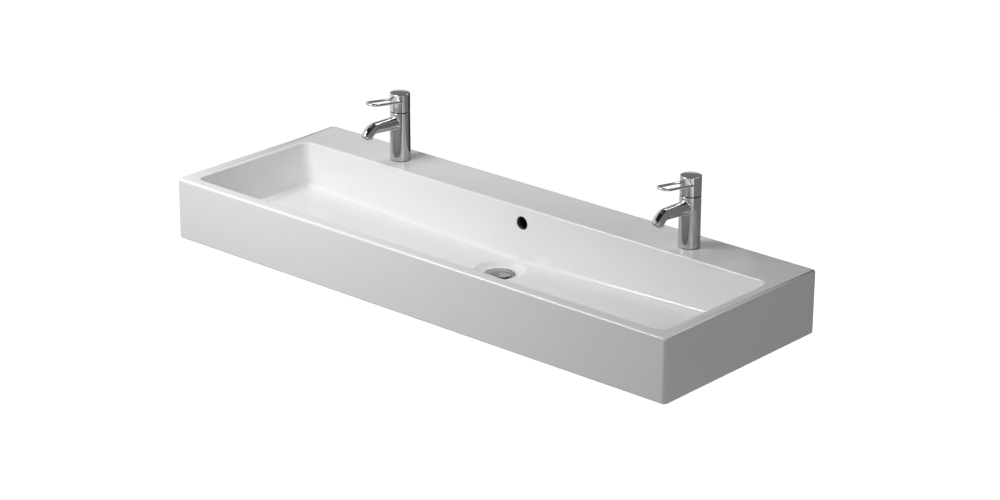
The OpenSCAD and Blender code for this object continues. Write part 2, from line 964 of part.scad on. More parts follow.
module handle_screw() {
    color("gray")
    translate([0, spindle_w / 2 + 0.1, screw_z])
        rotate([-90, 0, 0])
            difference() {
                cylinder(d = 5, h = 9);
                translate([0, 0, 6.5])
                    cylinder(d = 2.9, h = 3.5, $fn = 6);
            }
}

module screw_plug() {
    color("silver")
    translate([0, body_r - 4.4, screw_z])
        rotate([-90, 0, 0])
            cylinder(d = 7, h = 4.1);
}

module fixing_stud() {
    grip = 11.8;
    color("goldenrod")
    translate([0, -stud_y, -stud_drop])
        cylinder(d = stud_d, h = stud_drop + gasket_t + grip);
}

// Horseshoe round the hoses, with its hole on the stud.
module horseshoe(t) {
    bridge_y = 2;
    arm_x = 13.5;
    difference() {
        cylinder(d = horseshoe_d, h = t);
        translate([-arm_x, -bridge_y, -over])
            cube([2 * arm_x, horseshoe_d + bridge_y, t + 2 * over]);
        translate([0, -stud_y, -over])
            cylinder(d = stud_d + 2 * seat, h = t + 2 * over);
    }
}

module rubber_horseshoe() {
    color("dimgray")
    translate([0, 0, -deck_t - rubber_t])
        horseshoe(rubber_t);
}

module steel_horseshoe() {
    color("silver")
    translate([0, 0, -deck_t - rubber_t - steel_t])
        horseshoe(steel_t);
}

module fixing_nut() {
    across_flats = stud_d + 5;
    color("goldenrod")
    translate([0, -stud_y, -deck_t - rubber_t - steel_t - nut_h])
        difference() {
            cylinder(d = across_flats / cos(30), h = nut_h, $fn = 6);
            translate([0, 0, -over])
                cylinder(d = stud_d + 2 * seat, h = nut_h + 2 * over);
        }
}

basin();
at_waste() waste_body();
at_waste() waste_top_seal();
at_waste() waste_bottom_seal();
at_waste() waste_washer();
at_waste() waste_backnut();
at_waste() waste_click_insert();
at_waste() waste_plug();
at_waste() waste_plug_seal();
at_tap(-1) tap_body();  // left_tap_body
at_tap(-1) base_gasket();  // left_base_gasket
at_tap(-1) aerator_housing();  // left_aerator_housing
at_tap(-1) aerator_insert();  // left_aerator_insert
at_tap(-1) cartridge_housing();  // left_cartridge_housing
at_tap(-1) cartridge_base();  // left_cartridge_base
at_tap(-1) fixed_disc();  // left_fixed_disc
at_tap(-1) moving_disc();  // left_moving_disc
at_tap(-1) spindle_carrier();  // left_spindle_carrier
at_tap(-1) spindle_pin();  // left_spindle_pin
at_tap(-1) spindle();  // left_spindle
at_tap(-1) cartridge_nut();  // left_cartridge_nut
at_tap(-1) dome_ring();  // left_dome_ring
at_tap(-1) handle_cap();  // left_handle_cap
at_tap(-1) lever_loop();  // left_lever_loop
at_tap(-1) handle_screw();  // left_handle_screw
at_tap(-1) screw_plug();  // left_screw_plug
at_tap(-1) fixing_stud();  // left_fixing_stud
at_tap(-1) rubber_horseshoe();  // left_rubber_horseshoe
at_tap(-1) steel_horseshoe();  // left_steel_horseshoe
at_tap(-1) fixing_nut();  // left_fixing_nut
at_tap(1) tap_body();  // right_tap_body
at_tap(1) base_gasket();  // right_base_gasket
at_tap(1) aerator_housing();  // right_aerator_housing
at_tap(1) aerator_insert();  // right_aerator_insert
at_tap(1) cartridge_housing();  // right_cartridge_housing
at_tap(1) cartridge_base();  // right_cartridge_base
at_tap(1) fixed_disc();  // right_fixed_disc
at_tap(1) moving_disc();  // right_moving_disc
at_tap(1) spindle_carrier();  // right_spindle_carrier
at_tap(1) spindle_pin();  // right_spindle_pin
at_tap(1) spindle();  // right_spindle
at_tap(1) cartridge_nut();  // right_cartridge_nut
at_tap(1) dome_ring();  // right_dome_ring
at_tap(1) handle_cap();  // right_handle_cap
at_tap(1) lever_loop();  // right_lever_loop
at_tap(1) handle_screw();  // right_handle_screw
at_tap(1) screw_plug();  // right_screw_plug
at_tap(1) fixing_stud();  // right_fixing_stud
at_tap(1) rubber_horseshoe();  // right_rubber_horseshoe
at_tap(1) steel_horseshoe();  // right_steel_horseshoe
at_tap(1) fixing_nut();  // right_fixing_nut
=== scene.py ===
# %% [markdown]
# # A washbasin with two taps
# A wide washbasin of white glazed ceramic hangs on a wall. Its bowl is one
# long rectangle with a floor that falls to the waste, and two chromed
# single-lever taps stand on the flat deck behind the bowl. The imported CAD
# model gives every size and every joint. This script dresses it: it models
# the ceramic and the taps again with soft edges, gives each piece its finish
# and sets up the light and the camera.

# %% Load the frame
import math

import bmesh
import bpy
from mathutils import Matrix, Vector


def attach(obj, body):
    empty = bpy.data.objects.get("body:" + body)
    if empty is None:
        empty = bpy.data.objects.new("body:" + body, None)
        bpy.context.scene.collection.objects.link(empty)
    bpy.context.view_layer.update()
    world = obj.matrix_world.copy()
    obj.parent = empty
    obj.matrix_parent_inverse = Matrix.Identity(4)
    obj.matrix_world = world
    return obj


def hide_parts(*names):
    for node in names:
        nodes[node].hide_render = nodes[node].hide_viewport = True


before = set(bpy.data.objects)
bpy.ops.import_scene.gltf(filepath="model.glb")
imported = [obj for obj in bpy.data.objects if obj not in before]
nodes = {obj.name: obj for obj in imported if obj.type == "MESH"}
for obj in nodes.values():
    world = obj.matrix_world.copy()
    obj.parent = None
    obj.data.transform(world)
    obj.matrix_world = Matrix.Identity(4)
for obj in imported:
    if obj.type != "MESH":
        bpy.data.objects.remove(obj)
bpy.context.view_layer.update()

# %% [markdown]
# ## The camera
# The photograph was taken from the right and slightly above with a long
# lens. Its place was found by fitting a camera to the corners of the rim and
# the skirt, and it is written here as a place, a heading and a lens.

# %% Place the camera
HEADING = math.radians(41.034)
DOWNWARD = math.radians(20.956)
ROLL = math.radians(0.433)
SENSOR = 36.0
LENS = 103.11
CAMERA_PLACE = (3.5640, -4.2808, 2.0767)

forward = Vector((-math.sin(HEADING) * math.cos(DOWNWARD),
                  math.cos(HEADING) * math.cos(DOWNWARD),
                  -math.sin(DOWNWARD)))
level = Vector((math.cos(HEADING), math.sin(HEADING), 0.0))
upward = level.cross(forward)
right = level * math.cos(ROLL) + upward * math.sin(ROLL)
up = upward * math.cos(ROLL) - level * math.sin(ROLL)

lens = bpy.data.cameras.new("camera")
lens.sensor_width = SENSOR
lens.lens = LENS
camera = bpy.data.objects.new("camera", lens)
bpy.context.scene.collection.objects.link(camera)
turn = Matrix((right, up, -forward)).transposed().to_4x4()
camera.matrix_world = Matrix.Translation(CAMERA_PLACE) @ turn
bpy.context.scene.camera = camera
bpy.context.scene.view_settings.view_transform = "Standard"
print("camera at", CAMERA_PLACE, "with a lens of", LENS, "mm")

# %% [markdown]
# ## The light
# The left end of the front is nearly white and the right end is a middle
# grey, so the main lamp hangs close by, in front and to the left of the
# middle. A second lamp fills the right end, and a third, high up behind,
# draws the bright line along each spout. A low lamp at the back only keeps
# the rear wall from going dark, and mirrors don't see it. The world adds a
# trace of light from all sides. Lamps could also be small and bright, but
# large soft ones give the long, gentle falls of light that glaze shows.

# %% Hang the lamps
def soft_lamp(name, place, target, size, power):
    """A square area lamp that looks at a point."""
    light = bpy.data.lights.new(name, "AREA")
    light.shape = "SQUARE"
    light.size = size
    light.energy = power
    lamp = bpy.data.objects.new(name, light)
    bpy.context.scene.collection.objects.link(lamp)
    aim = Vector(target) - Vector(place)
    lamp.matrix_world = (Matrix.Translation(place)
                         @ aim.to_track_quat("-Z", "Y").to_matrix().to_4x4())
    return lamp


soft_lamp("key_lamp", (-0.62, -1.3, 1.15), (-0.28, -0.4, 0.0), 0.9, 24.0)
soft_lamp("right_lamp", (2.7, -0.8, 0.95), (0.3, -0.2, 0.0), 1.3, 10.5)
soft_lamp("back_lamp", (-0.3, 1.45, 1.85), (0.0, -0.1, 0.1), 0.6, 6.0)
rear = soft_lamp("rear_lamp", (0.2, 2.2, 0.22), (0.0, 0.0, 0.0), 1.2, 12.0)
rear.visible_glossy = False


# %% [markdown]
# ## The background
# The object stands before plain white. A stronger lamp would only wash it
# out, so the white is painted where it is seen and nowhere else: a Light Path
# node tells what kind of ray arrives. Rays from the camera, and rays that a
# mirror or a glass has turned, see white. All others, which carry light to
# the object, see next to nothing.

# %% A helper that tells seen rays from the rest
def seen_or_mirrored(tree):
    """1 for rays from the camera, a mirror or a glass, 0 for the rest."""
    path = tree.nodes.new("ShaderNodeLightPath")
    first = tree.nodes.new("ShaderNodeMath")
    first.operation = "MAXIMUM"
    tree.links.new(path.outputs["Is Camera Ray"], first.inputs[0])
    tree.links.new(path.outputs["Is Glossy Ray"], first.inputs[1])
    both = tree.nodes.new("ShaderNodeMath")
    both.operation = "MAXIMUM"
    tree.links.new(first.outputs[0], both.inputs[0])
    tree.links.new(path.outputs["Is Transmission Ray"], both.inputs[1])
    return both.outputs[0]


# %% Paint the world
WHITE = (1.0, 1.0, 1.0, 1.0)
AMBIENT = 0.06
world = bpy.data.worlds.new("studio")
bpy.context.scene.world = world
world.use_nodes = True
tree = world.node_tree
tree.nodes.clear()

ambient = tree.nodes.new("ShaderNodeBackground")
ambient.inputs["Color"].default_value = WHITE
ambient.inputs["Strength"].default_value = AMBIENT
white = tree.nodes.new("ShaderNodeBackground")
white.inputs["Color"].default_value = WHITE
white.inputs["Strength"].default_value = 1.0
choose = tree.nodes.new("ShaderNodeMixShader")
sky = tree.nodes.new("ShaderNodeOutputWorld")
tree.links.new(seen_or_mirrored(tree), choose.inputs["Fac"])
tree.links.new(ambient.outputs[0], choose.inputs[1])
tree.links.new(white.outputs[0], choose.inputs[2])
tree.links.new(choose.outputs[0], sky.inputs["Surface"])
print("world light on the object:", AMBIENT)

# %% [markdown]
# ## The floor
# The floor lies as far below the basin as a real one does, so hardly any of
# the shadow reaches it. It has to look as white as the background and still
# keep that shadow. It is a matt grey that takes its light from the lamps, and
# a glow is added for the rays that are seen, so both together come out white.

# %% Lay the floor
FLOOR_Z = -0.778
FLOOR_HALF = 30.0
bm = bmesh.new()
bmesh.ops.create_grid(bm, x_segments=1, y_segments=1, size=FLOOR_HALF,
                      matrix=Matrix.Translation((0.0, 0.0, FLOOR_Z)))
floor_mesh = bpy.data.meshes.new("floor")
bm.to_mesh(floor_mesh)
bm.free()
floor = bpy.data.objects.new("floor", floor_mesh)
bpy.context.scene.collection.objects.link(floor)
print("floor height:", FLOOR_Z)

# %% Paint the floor
FLOOR_GREY = (0.6, 0.6, 0.6, 1.0)
FLOOR_GLOW = 0.96
paint = bpy.data.materials.new("studio_floor")
paint.use_nodes = True
tree = paint.node_tree
tree.nodes.clear()
matt = tree.nodes.new("ShaderNodeBsdfDiffuse")
matt.inputs["Color"].default_value = FLOOR_GREY
glow = tree.nodes.new("ShaderNodeEmission")
glow.inputs["Strength"].default_value = FLOOR_GLOW
dark = tree.nodes.new("ShaderNodeEmission")
dark.inputs["Strength"].default_value = 0.0
lift = tree.nodes.new("ShaderNodeMixShader")
both = tree.nodes.new("ShaderNodeAddShader")
out = tree.nodes.new("ShaderNodeOutputMaterial")
tree.links.new(seen_or_mirrored(tree), lift.inputs["Fac"])
tree.links.new(dark.outputs[0], lift.inputs[1])
tree.links.new(glow.outputs[0], lift.inputs[2])
tree.links.new(matt.outputs[0], both.inputs[0])
tree.links.new(lift.outputs[0], both.inputs[1])
tree.links.new(both.outputs[0], out.inputs["Surface"])
floor_mesh.materials.append(paint)
print("floor glow:", FLOOR_GLOW)

# %% [markdown]
# ## Cards for the chrome
# Polished metal has hardly a colour of its own: it shows what stands around
# it. The taps are mostly dark with a few bright lines, so dark cards stand
# behind, beside and above the basin, as in a studio for glass and metal. Two
# light cards behind, on the left, draw the bright bands in between. Only
# mirrors see the cards, so they take no light from the ceramic.

# %% A helper for cards
def card(name, centre, turn, tilt, width, height, strength):
    """A rectangle that only mirrors see. It starts upright and faces along Y.

    turn and tilt are in degrees, and a strength of 1 would be white.
    """
    bm = bmesh.new()
    place = (Matrix.Translation(centre) @ Matrix.Rotation(math.radians(turn), 4, "Z")
             @ Matrix.Rotation(math.radians(90 + tilt), 4, "X")
             @ Matrix.Diagonal((width, height, 1.0, 1.0)))
    bmesh.ops.create_grid(bm, x_segments=1, y_segments=1, size=0.5, matrix=place)
    mesh = bpy.data.meshes.new(name)
    bm.to_mesh(mesh)
    bm.free()
    piece = bpy.data.objects.new(name, mesh)
    bpy.context.scene.collection.objects.link(piece)
    for rays in ("camera", "diffuse", "transmission", "volume_scatter", "shadow"):
        setattr(piece, "visible_" + rays, False)
    felt = bpy.data.materials.new(name)
    felt.use_nodes = True
    tree = felt.node_tree
    tree.nodes.clear()
    glow = tree.nodes.new("ShaderNodeEmission")
    glow.inputs["Strength"].default_value = strength
    out = tree.nodes.new("ShaderNodeOutputMaterial")
    tree.links.new(glow.outputs[0], out.inputs["Surface"])
    mesh.materials.append(felt)


# %% Set the cards
card("low_left_card", (-2.0, 1.1, -0.235), 0, 0, 1.4, 1.07, 0.20)
card("low_middle_card", (-0.5, 1.1, -0.235), 0, 0, 1.6, 1.07, 0.05)
card("low_right_card", (1.15, 1.1, -0.235), 0, 0, 1.7, 1.07, 0.25)
card("left_card", (-1.85, 1.1, 0.465), 0, 0, 1.7, 0.33, 0.80)
card("middle_card", (-0.65, 1.1, 0.465), 0, 0, 0.7, 0.33, 0.80)
card("back_card", (0.85, 1.1, 0.465), 0, 0, 2.3, 0.33, 0.10)
card("high_card", (-0.5, 2.6, 2.1), 0, 0, 7.0, 3.8, 0.26)
card("right_card", (1.9, 0.3, 0.9), -60, 0, 2.6, 3.35, 0.27)
card("top_card", (0.6, -0.6, 2.7), 0, 90, 5.0, 4.4, 0.03)


# %% [markdown]
# ## The finishes
# No real surface is perfectly even. Every finish is built from the same few
# nodes: one noise varies the colour a little, the roughness, and a fine
# relief. What changes from one finish to the next is the size of the noise
# and how strongly it works. An image could do the same, but a noise has no
# seams and stays sharp at any distance.

# %% A helper for all finishes
NOISE_DETAIL = 4.0
NOISE_LOW, NOISE_HIGH = 0.3, 0.7  # nearly all of the noise lies between these


def finish(name, colour, tint, roughness, spread, grain, bump,
           stretch=(1.0, 1.0, 1.0), **sockets):
    """A material with noise in its colour, roughness and bump.

    colour and tint are the two colours that the noise mixes. roughness and
    spread are the middle and the width of its roughness. grain is the size
    of the noise in metres, and bump the height of the relief in metres.
    stretch squeezes the noise along an axis, and sockets set the shader's own.
    """
    material = bpy.data.materials.new(name)
    material.use_nodes = True
    tree = material.node_tree
    surface = tree.nodes["Principled BSDF"]
    place = tree.nodes.new("ShaderNodeTexCoord")
    mapping = tree.nodes.new("ShaderNodeMapping")
    mapping.inputs["Scale"].default_value = stretch
    tree.links.new(place.outputs["Object"], mapping.inputs["Vector"])
    noise = tree.nodes.new("ShaderNodeTexNoise")
    noise.inputs["Scale"].default_value = 1.0 / grain
    noise.inputs["Detail"].default_value = NOISE_DETAIL
    tree.links.new(mapping.outputs[0], noise.inputs["Vector"])

    blend = tree.nodes.new("ShaderNodeMix")
    blend.data_type = "RGBA"
    blend.inputs["A"].default_value = (*colour, 1.0)
    blend.inputs["B"].default_value = (*tint, 1.0)
    tree.links.new(noise.outputs["Fac"], blend.inputs["Factor"])
    tree.links.new(blend.outputs["Result"], surface.inputs["Base Color"])

    polish = tree.nodes.new("ShaderNodeMapRange")
    polish.inputs["From Min"].default_value = NOISE_LOW
    polish.inputs["From Max"].default_value = NOISE_HIGH
    polish.inputs["To Min"].default_value = roughness - spread / 2
    polish.inputs["To Max"].default_value = roughness + spread / 2
    tree.links.new(noise.outputs["Fac"], polish.inputs["Value"])
    tree.links.new(polish.outputs["Result"], surface.inputs["Roughness"])

    relief = tree.nodes.new("ShaderNodeBump")
    relief.inputs["Strength"].default_value = 1.0
    relief.inputs["Distance"].default_value = bump
    tree.links.new(noise.outputs["Fac"], relief.inputs["Height"])
    tree.links.new(relief.outputs["Normal"], surface.inputs["Normal"])

    for socket, value in sockets.items():
        label = socket.replace("_", " ").title().replace("Ior", "IOR")
        surface.inputs[label].default_value = value
    return material


# %% [markdown]
# ## The glaze
# Fired glaze is a layer of glass over white clay: nearly white, glossy, and a
# little uneven where it ran. A clear coat over a matt base would work too,
# but a smooth base with the refraction of glass gives the same highlights
# with one layer less.

# %% Mix the glaze
GLASS_IOR = 1.5
glaze = finish("white_glaze", (0.87, 0.87, 0.865), (0.85, 0.85, 0.845), 0.11, 0.04, 0.05, 0.00002,
               ior=GLASS_IOR)
print("glaze:", glaze.name)

# %% [markdown]
# ## Bare clay and painted shade in the overflow's channel
# Behind the overflow's mouth runs a channel that the glaze doesn't reach and
# light hardly enters. Its clay is painted much darker than bare clay is, as
# painted shade, so the mouth looks nearly black. The channel belongs to the
# casting, so it isn't a piece of its own with its own material. Instead the
# glaze changes its colour inside a box, measured on Object coordinates.

# %% A helper that paints shade into a box
def paint_shade_inside(material, low, high, colour):
    """Give a material another colour between two corners of the object."""
    tree = material.node_tree
    surface = tree.nodes["Principled BSDF"]
    place = next(n for n in tree.nodes if n.type == "TEX_COORD")
    shift = tree.nodes.new("ShaderNodeVectorMath")
    shift.operation = "SUBTRACT"
    shift.inputs[1].default_value = [(a + b) / 2 for a, b in zip(low, high)]
    tree.links.new(place.outputs["Object"], shift.inputs[0])
    size = tree.nodes.new("ShaderNodeVectorMath")
    size.operation = "ABSOLUTE"
    tree.links.new(shift.outputs[0], size.inputs[0])
    axes = tree.nodes.new("ShaderNodeSeparateXYZ")
    tree.links.new(size.outputs[0], axes.inputs[0])
    inside = None
    for axis, (a, b) in enumerate(zip(low, high)):
        within = tree.nodes.new("ShaderNodeMath")
        within.operation = "LESS_THAN"
        within.inputs[1].default_value = (b - a) / 2
        tree.links.new(axes.outputs[axis], within.inputs[0])
        if inside is None:
            inside = within
            continue
        both = tree.nodes.new("ShaderNodeMath")
        both.operation = "MULTIPLY"
        tree.links.new(inside.outputs[0], both.inputs[0])
        tree.links.new(within.outputs[0], both.inputs[1])
        inside = both
    # this mix paints the shade: inside the box the colour stands for the dark of the channel
    clay = tree.nodes.new("ShaderNodeMix")
    clay.data_type = "RGBA"
    clay.inputs["B"].default_value = (*colour, 1.0)
    tree.links.new(inside.outputs[0], clay.inputs["Factor"])
    tree.links.new(surface.inputs["Base Color"].links[0].from_socket, clay.inputs["A"])
    tree.links.new(clay.outputs["Result"], surface.inputs["Base Color"])


# %% Paint shade into the bare channel
CHANNEL_LOW = (-0.0205, -0.1172, -0.0785)
CHANNEL_HIGH = (0.0205, -0.0935, 0.0565)
# far darker than bare clay: painted shade that makes the overflow's mouth look nearly black
CLAY_WITH_PAINTED_SHADE = (0.10, 0.095, 0.09)
paint_shade_inside(glaze, CHANNEL_LOW, CHANNEL_HIGH, CLAY_WITH_PAINTED_SHADE)
print("bare clay from", CHANNEL_LOW, "to", CHANNEL_HIGH)

# %% [markdown]
# ## The metals
# The taps are plated with polished chrome, a mirror with a faint cool tint.
# The chrome of the waste lies in water and is duller, and its colour is also
# painted darker, as painted shade of the dish it lies in. The collar between
# cap and body has near black chrome, which is painted shade, because it lies
# in a groove that hardly any light reaches. Brass and steel show the marks of
# turning, so their noise is squeezed along one axis.

# %% Mix the metals
chrome = finish("polished_chrome", (0.54, 0.545, 0.55), (0.50, 0.505, 0.51), 0.06, 0.04, 0.02,
                0.000002, metallic=1.0)
# duller from wear, and darker than chrome is: painted shade of the dish
waste_wear_and_painted_shade = finish("wear_and_painted_shade_chrome", (0.27, 0.272, 0.275), (0.23, 0.233, 0.236), 0.12, 0.06, 0.012,
                      0.000004, metallic=1.0)
# near black chrome: painted shade of the groove between cap and body
painted_shade_chrome = finish("painted_shade_chrome", (0.10, 0.10, 0.103), (0.08, 0.08, 0.082), 0.14, 0.06, 0.01,
                     0.000002, metallic=1.0)
brass = finish("turned_brass", (0.62, 0.45, 0.19), (0.50, 0.35, 0.13), 0.28, 0.14, 0.004,
               0.00001, (1.0, 1.0, 6.0), metallic=1.0)
steel = finish("plain_steel", (0.48, 0.48, 0.48), (0.38, 0.38, 0.39), 0.32, 0.14, 0.003,
               0.00001, (8.0, 1.0, 1.0), metallic=1.0)
print("metals:", [m.name for m in (chrome, waste_wear_and_painted_shade, painted_shade_chrome, brass, steel)])

# %% [markdown]
# ## Rubber, plastic and ceramic discs
# The seals are matt black rubber with a coarse bloom. The cartridge is grey
# nylon, the stream former white acetal, and the two discs that meter the
# water are ceramic, ground so flat that they shine.

# %% Mix the soft and moulded parts
rubber = finish("seal_rubber", (0.025, 0.025, 0.025), (0.045, 0.045, 0.045), 0.75, 0.15, 0.002,
                0.00003)
cartridge_plastic = finish("grey_nylon", (0.55, 0.56, 0.57), (0.47, 0.48, 0.49), 0.45, 0.12,
                           0.002, 0.00001)
aerator_plastic = finish("white_acetal", (0.72, 0.73, 0.74), (0.64, 0.65, 0.66), 0.4, 0.1, 0.001,
                         0.00001)
disc_ceramic = finish("lapped_ceramic", (0.80, 0.78, 0.74), (0.74, 0.72, 0.68), 0.2, 0.1, 0.002,
                      0.000004)
print("others:", [m.name for m in (rubber, cartridge_plastic, aerator_plastic, disc_ceramic)])


# %% [markdown]
# ## Shared modelling helpers
# Each piece starts as a bmesh. Holes and junctions could be modelled face by
# face, but booleans between closed bmesh shapes are quicker to change. Edges
# that a hand would feel are rounded in the outline or bevelled before that. A
# boolean can leave two points a hair apart, and the mesh then isn't quite
# closed, so such points are welded after each one.

# %% From bmesh to object and back
SAME_POINT = 1e-7
WELD = 1e-6


def to_object(bm, name):
    """A new object with the bmesh as its mesh and all normals outwards."""
    bmesh.ops.remove_doubles(bm, verts=bm.verts, dist=SAME_POINT)
    bmesh.ops.recalc_face_normals(bm, faces=bm.faces)
    mesh = bpy.data.meshes.new(name)
    bm.to_mesh(mesh)
    bm.free()
    piece = bpy.data.objects.new(name, mesh)
    bpy.context.scene.collection.objects.link(piece)
    return piece


def combine(piece, shape, operation):
    """Join a piece with a bmesh (UNION) or cut it out (DIFFERENCE), then weld what meets."""
    tool = to_object(shape, "tool")
    boolean = piece.modifiers.new("boolean", "BOOLEAN")
    boolean.operation = operation
    boolean.solver = "EXACT"
    boolean.object = tool
    shaped = piece.evaluated_get(bpy.context.evaluated_depsgraph_get())
    mesh = bpy.data.meshes.new_from_object(shaped)
    bm = bmesh.new()
    bm.from_mesh(mesh)
    bmesh.ops.remove_doubles(bm, verts=bm.verts, dist=WELD)
    bmesh.ops.dissolve_degenerate(bm, edges=bm.edges, dist=WELD)
    bm.to_mesh(mesh)
    bm.free()
    piece.modifiers.clear()
    piece.data = mesh
    bpy.data.objects.remove(tool)


# %% A helper that shades a finished piece and hands it over
SHARP_FROM = math.radians(38)


def dress(piece, material, body, replaced):
    """Shade a piece, give it its material, and let it ride and stand for its nodes."""
    mesh = piece.data
    mesh.materials.clear()
    mesh.materials.append(material)
    mesh.polygons.foreach_set("use_smooth", [True] * len(mesh.polygons))
    mesh.polygons.foreach_set("material_index", [0] * len(mesh.polygons))
    mesh.set_sharp_from_angle(angle=SHARP_FROM)
    weigh = piece.modifiers.new("weighted_normals", "WEIGHTED_NORMAL")
    weigh.keep_sharp = True
    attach(piece, body)
    for node in replaced:
        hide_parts(node)
    print(piece.name, "faces:", len(mesh.polygons))


# %% [markdown]
# ## Turned and straight shapes
# Most parts of a tap come off a lathe, so their bmesh is an outline spun once
# round. The spin merges its last step with its first, and the points on the
# axis collapse into one pole, so the shape is closed. Straight rods and boxes
# are used for bores and openings.

# %% Helpers for turned shapes
def turned(profile, centre, steps=96):
    """Spin a closed outline of (radius, height) points about a vertical axis."""
    bm = bmesh.new()
    points = [bm.verts.new((centre[0] + r, centre[1], centre[2] + z)) for r, z in profile]
    for first, second in zip(points, points[1:] + points[:1]):
        bm.edges.new((first, second))
    bmesh.ops.spin(bm, geom=bm.verts[:] + bm.edges[:], cent=centre, axis=(0.0, 0.0, 1.0),
                   angle=2 * math.pi, steps=steps, use_merge=True, use_duplicate=False)
    bmesh.ops.dissolve_degenerate(bm, edges=bm.edges, dist=WELD)
    return bm


def arc(centre_r, centre_z, radius, start, end, steps=5):
    """Points on an arc of a turned outline, angles in degrees from +r."""
    angles = [math.radians(start + (end - start) * i / steps) for i in range(steps + 1)]
    return [(centre_r + radius * math.cos(a), centre_z + radius * math.sin(a)) for a in angles]


# %% Helpers for rods and boxes
def rod(radius, start, end, segments=48):
    """A closed cylinder from one point to another."""
    start, end = Vector(start), Vector(end)
    bm = bmesh.new()
    way = end - start
    place = (Matrix.Translation((start + end) / 2)
             @ way.to_track_quat("Z", "Y").to_matrix().to_4x4())
    bmesh.ops.create_cone(bm, cap_ends=True, segments=segments, radius1=radius, radius2=radius,
                          depth=way.length, matrix=place)
    return bm


def block(low, high):
    """A closed box between two corners."""
    low, high = Vector(low), Vector(high)
    bm = bmesh.new()
    place = Matrix.Translation((low + high) / 2) @ Matrix.Diagonal((*(high - low), 1.0))
    bmesh.ops.create_cube(bm, size=1.0, matrix=place)
    return bm


# %% [markdown]
# ## The ceramic
# The basin is cast in one piece: a skirt, a deck, a bowl hanging inside the
# skirt, and open underneath. It can be made from a box with insets and
# extrusions only: inset the top and push the bowl down, then inset the foot
# and push the hollow up around the bowl. That keeps the mesh in clean bands,
# so each edge can get the radius that the glaze leaves on it.

# %% Sizes of the basin, in metres
HALF_W = 0.650
DEPTH = 0.470
RIM_Z = 0.072
FOOT_Z = -0.060
WALL = 0.010
DECK = 0.014
BOWL_HALF = 0.618
BOWL_BACK = -0.118
BOWL_FRONT = -0.442
FLOOR_END = RIM_Z - 0.098
FLOOR_FALL = 0.020
DRAFT = 0.003

WASTE_Y = -0.186
FLANGE_Z = -0.054
print("basin:", 2 * HALF_W, "by", DEPTH, "by", round(RIM_Z - FOOT_Z, 3), "m")

# %% Helpers that shape level faces
TOUCH = 1e-5
FIRST_WIDTH = 0.004  # of an inset, before its border is moved to its place


def near(a, b):
    """True where two measures differ by no more than rounding."""
    return abs(a - b) < TOUCH


def inset_to(bm, face, left, right_x, front, back):
    """Inset a level face and move its new border to a rectangle."""
    bmesh.ops.inset_region(bm, faces=[face], thickness=FIRST_WIDTH, use_even_offset=True)
    middle = face.calc_center_median()
    for v in face.verts:
        v.co.x = left if v.co.x < middle.x else right_x
        v.co.y = front if v.co.y < middle.y else back


def push(bm, face, z, inwards):
    """Extrude a level face to a height, its border drawn in by a draft."""
    made = bmesh.ops.extrude_discrete_faces(bm, faces=[face])["faces"][0]
    middle = made.calc_center_median()
    for v in made.verts:
        v.co.x += inwards if v.co.x < middle.x else -inwards
        v.co.y += inwards if v.co.y < middle.y else -inwards
        v.co.z = z
    return made


def level_face(bm, z):
    """The one face that lies level at a height."""
    return next(f for f in bm.faces if all(near(v.co.z, z) for v in f.verts))


# %% Cast the shell
shell = block((-HALF_W, -DEPTH, FOOT_Z), (HALF_W, 0.0, RIM_Z))
top = level_face(shell, RIM_Z)
inset_to(shell, top, -BOWL_HALF, BOWL_HALF, BOWL_FRONT, BOWL_BACK)
push(shell, top, FLOOR_END, DRAFT)
foot = level_face(shell, FOOT_Z)
inset_to(shell, foot, -HALF_W + WALL, HALF_W - WALL, -DEPTH + WALL, -WALL)
ceiling = push(shell, foot, RIM_Z - DECK, 0.0)
inset_to(shell, ceiling, -BOWL_HALF - WALL, BOWL_HALF + WALL, BOWL_FRONT - WALL, BOWL_BACK + WALL)
push(shell, ceiling, FLOOR_END - WALL, DRAFT)
print("shell faces:", len(shell.faces))

# %% Let the floor fall to the middle
bmesh.ops.bisect_plane(shell, geom=shell.verts[:] + shell.edges[:] + shell.faces[:],
                       plane_co=(0.0, 0.0, 0.0), plane_no=(1.0, 0.0, 0.0))
for v in shell.verts:
    on_floor = near(v.co.z, FLOOR_END) or near(v.co.z, FLOOR_END - WALL)
    if near(v.co.x, 0.0) and on_floor:
        v.co.z -= FLOOR_FALL
print("floor falls by", FLOOR_FALL, "m to the middle")

# %% [markdown]
# ## Round corners
# A casting shrinks in the kiln and would crack at a sharp corner, so every
# upright corner has a generous radius. A Bevel modifier would round all edges
# alike. The bevel operator takes a list of edges, so each kind of corner gets
# its own radius. The edges are found by where they stand.

# %% Helpers that pick and round edges
FLAT, SLIGHT, SHARP = 0.01, 0.3, 0.8  # how far a surface bends at an edge, in radians
AT_CORNER = 0.004


def bevel(bm, edges, radius, segments):
    """A round bevel with the settings that every edge here shares."""
    bmesh.ops.bevel(bm, geom=edges, offset=radius, offset_type="OFFSET", segments=segments,
                    profile=0.5, affect="EDGES", clamp_overlap=False, material=-1)


def rises(edge):
    """True where an edge runs upright, or nearly so."""
    a, b = (v.co for v in edge.verts)
    return abs(a.z - b.z) > 0.9 * (a - b).length


def corner_of(edge, half_w, front, back):
    """True where an upright edge stands near a corner of a rectangle."""
    middle = (edge.verts[0].co + edge.verts[1].co) / 2
    at_side = abs(abs(middle.x) - half_w) < AT_CORNER
    return at_side and min(abs(middle.y - front), abs(middle.y - back)) < AT_CORNER


def corners(half_w, front, back):
    """The shell's upright edges at the corners of a rectangle."""
    return [e for e in shell.edges if rises(e) and corner_of(e, half_w, front, back)]


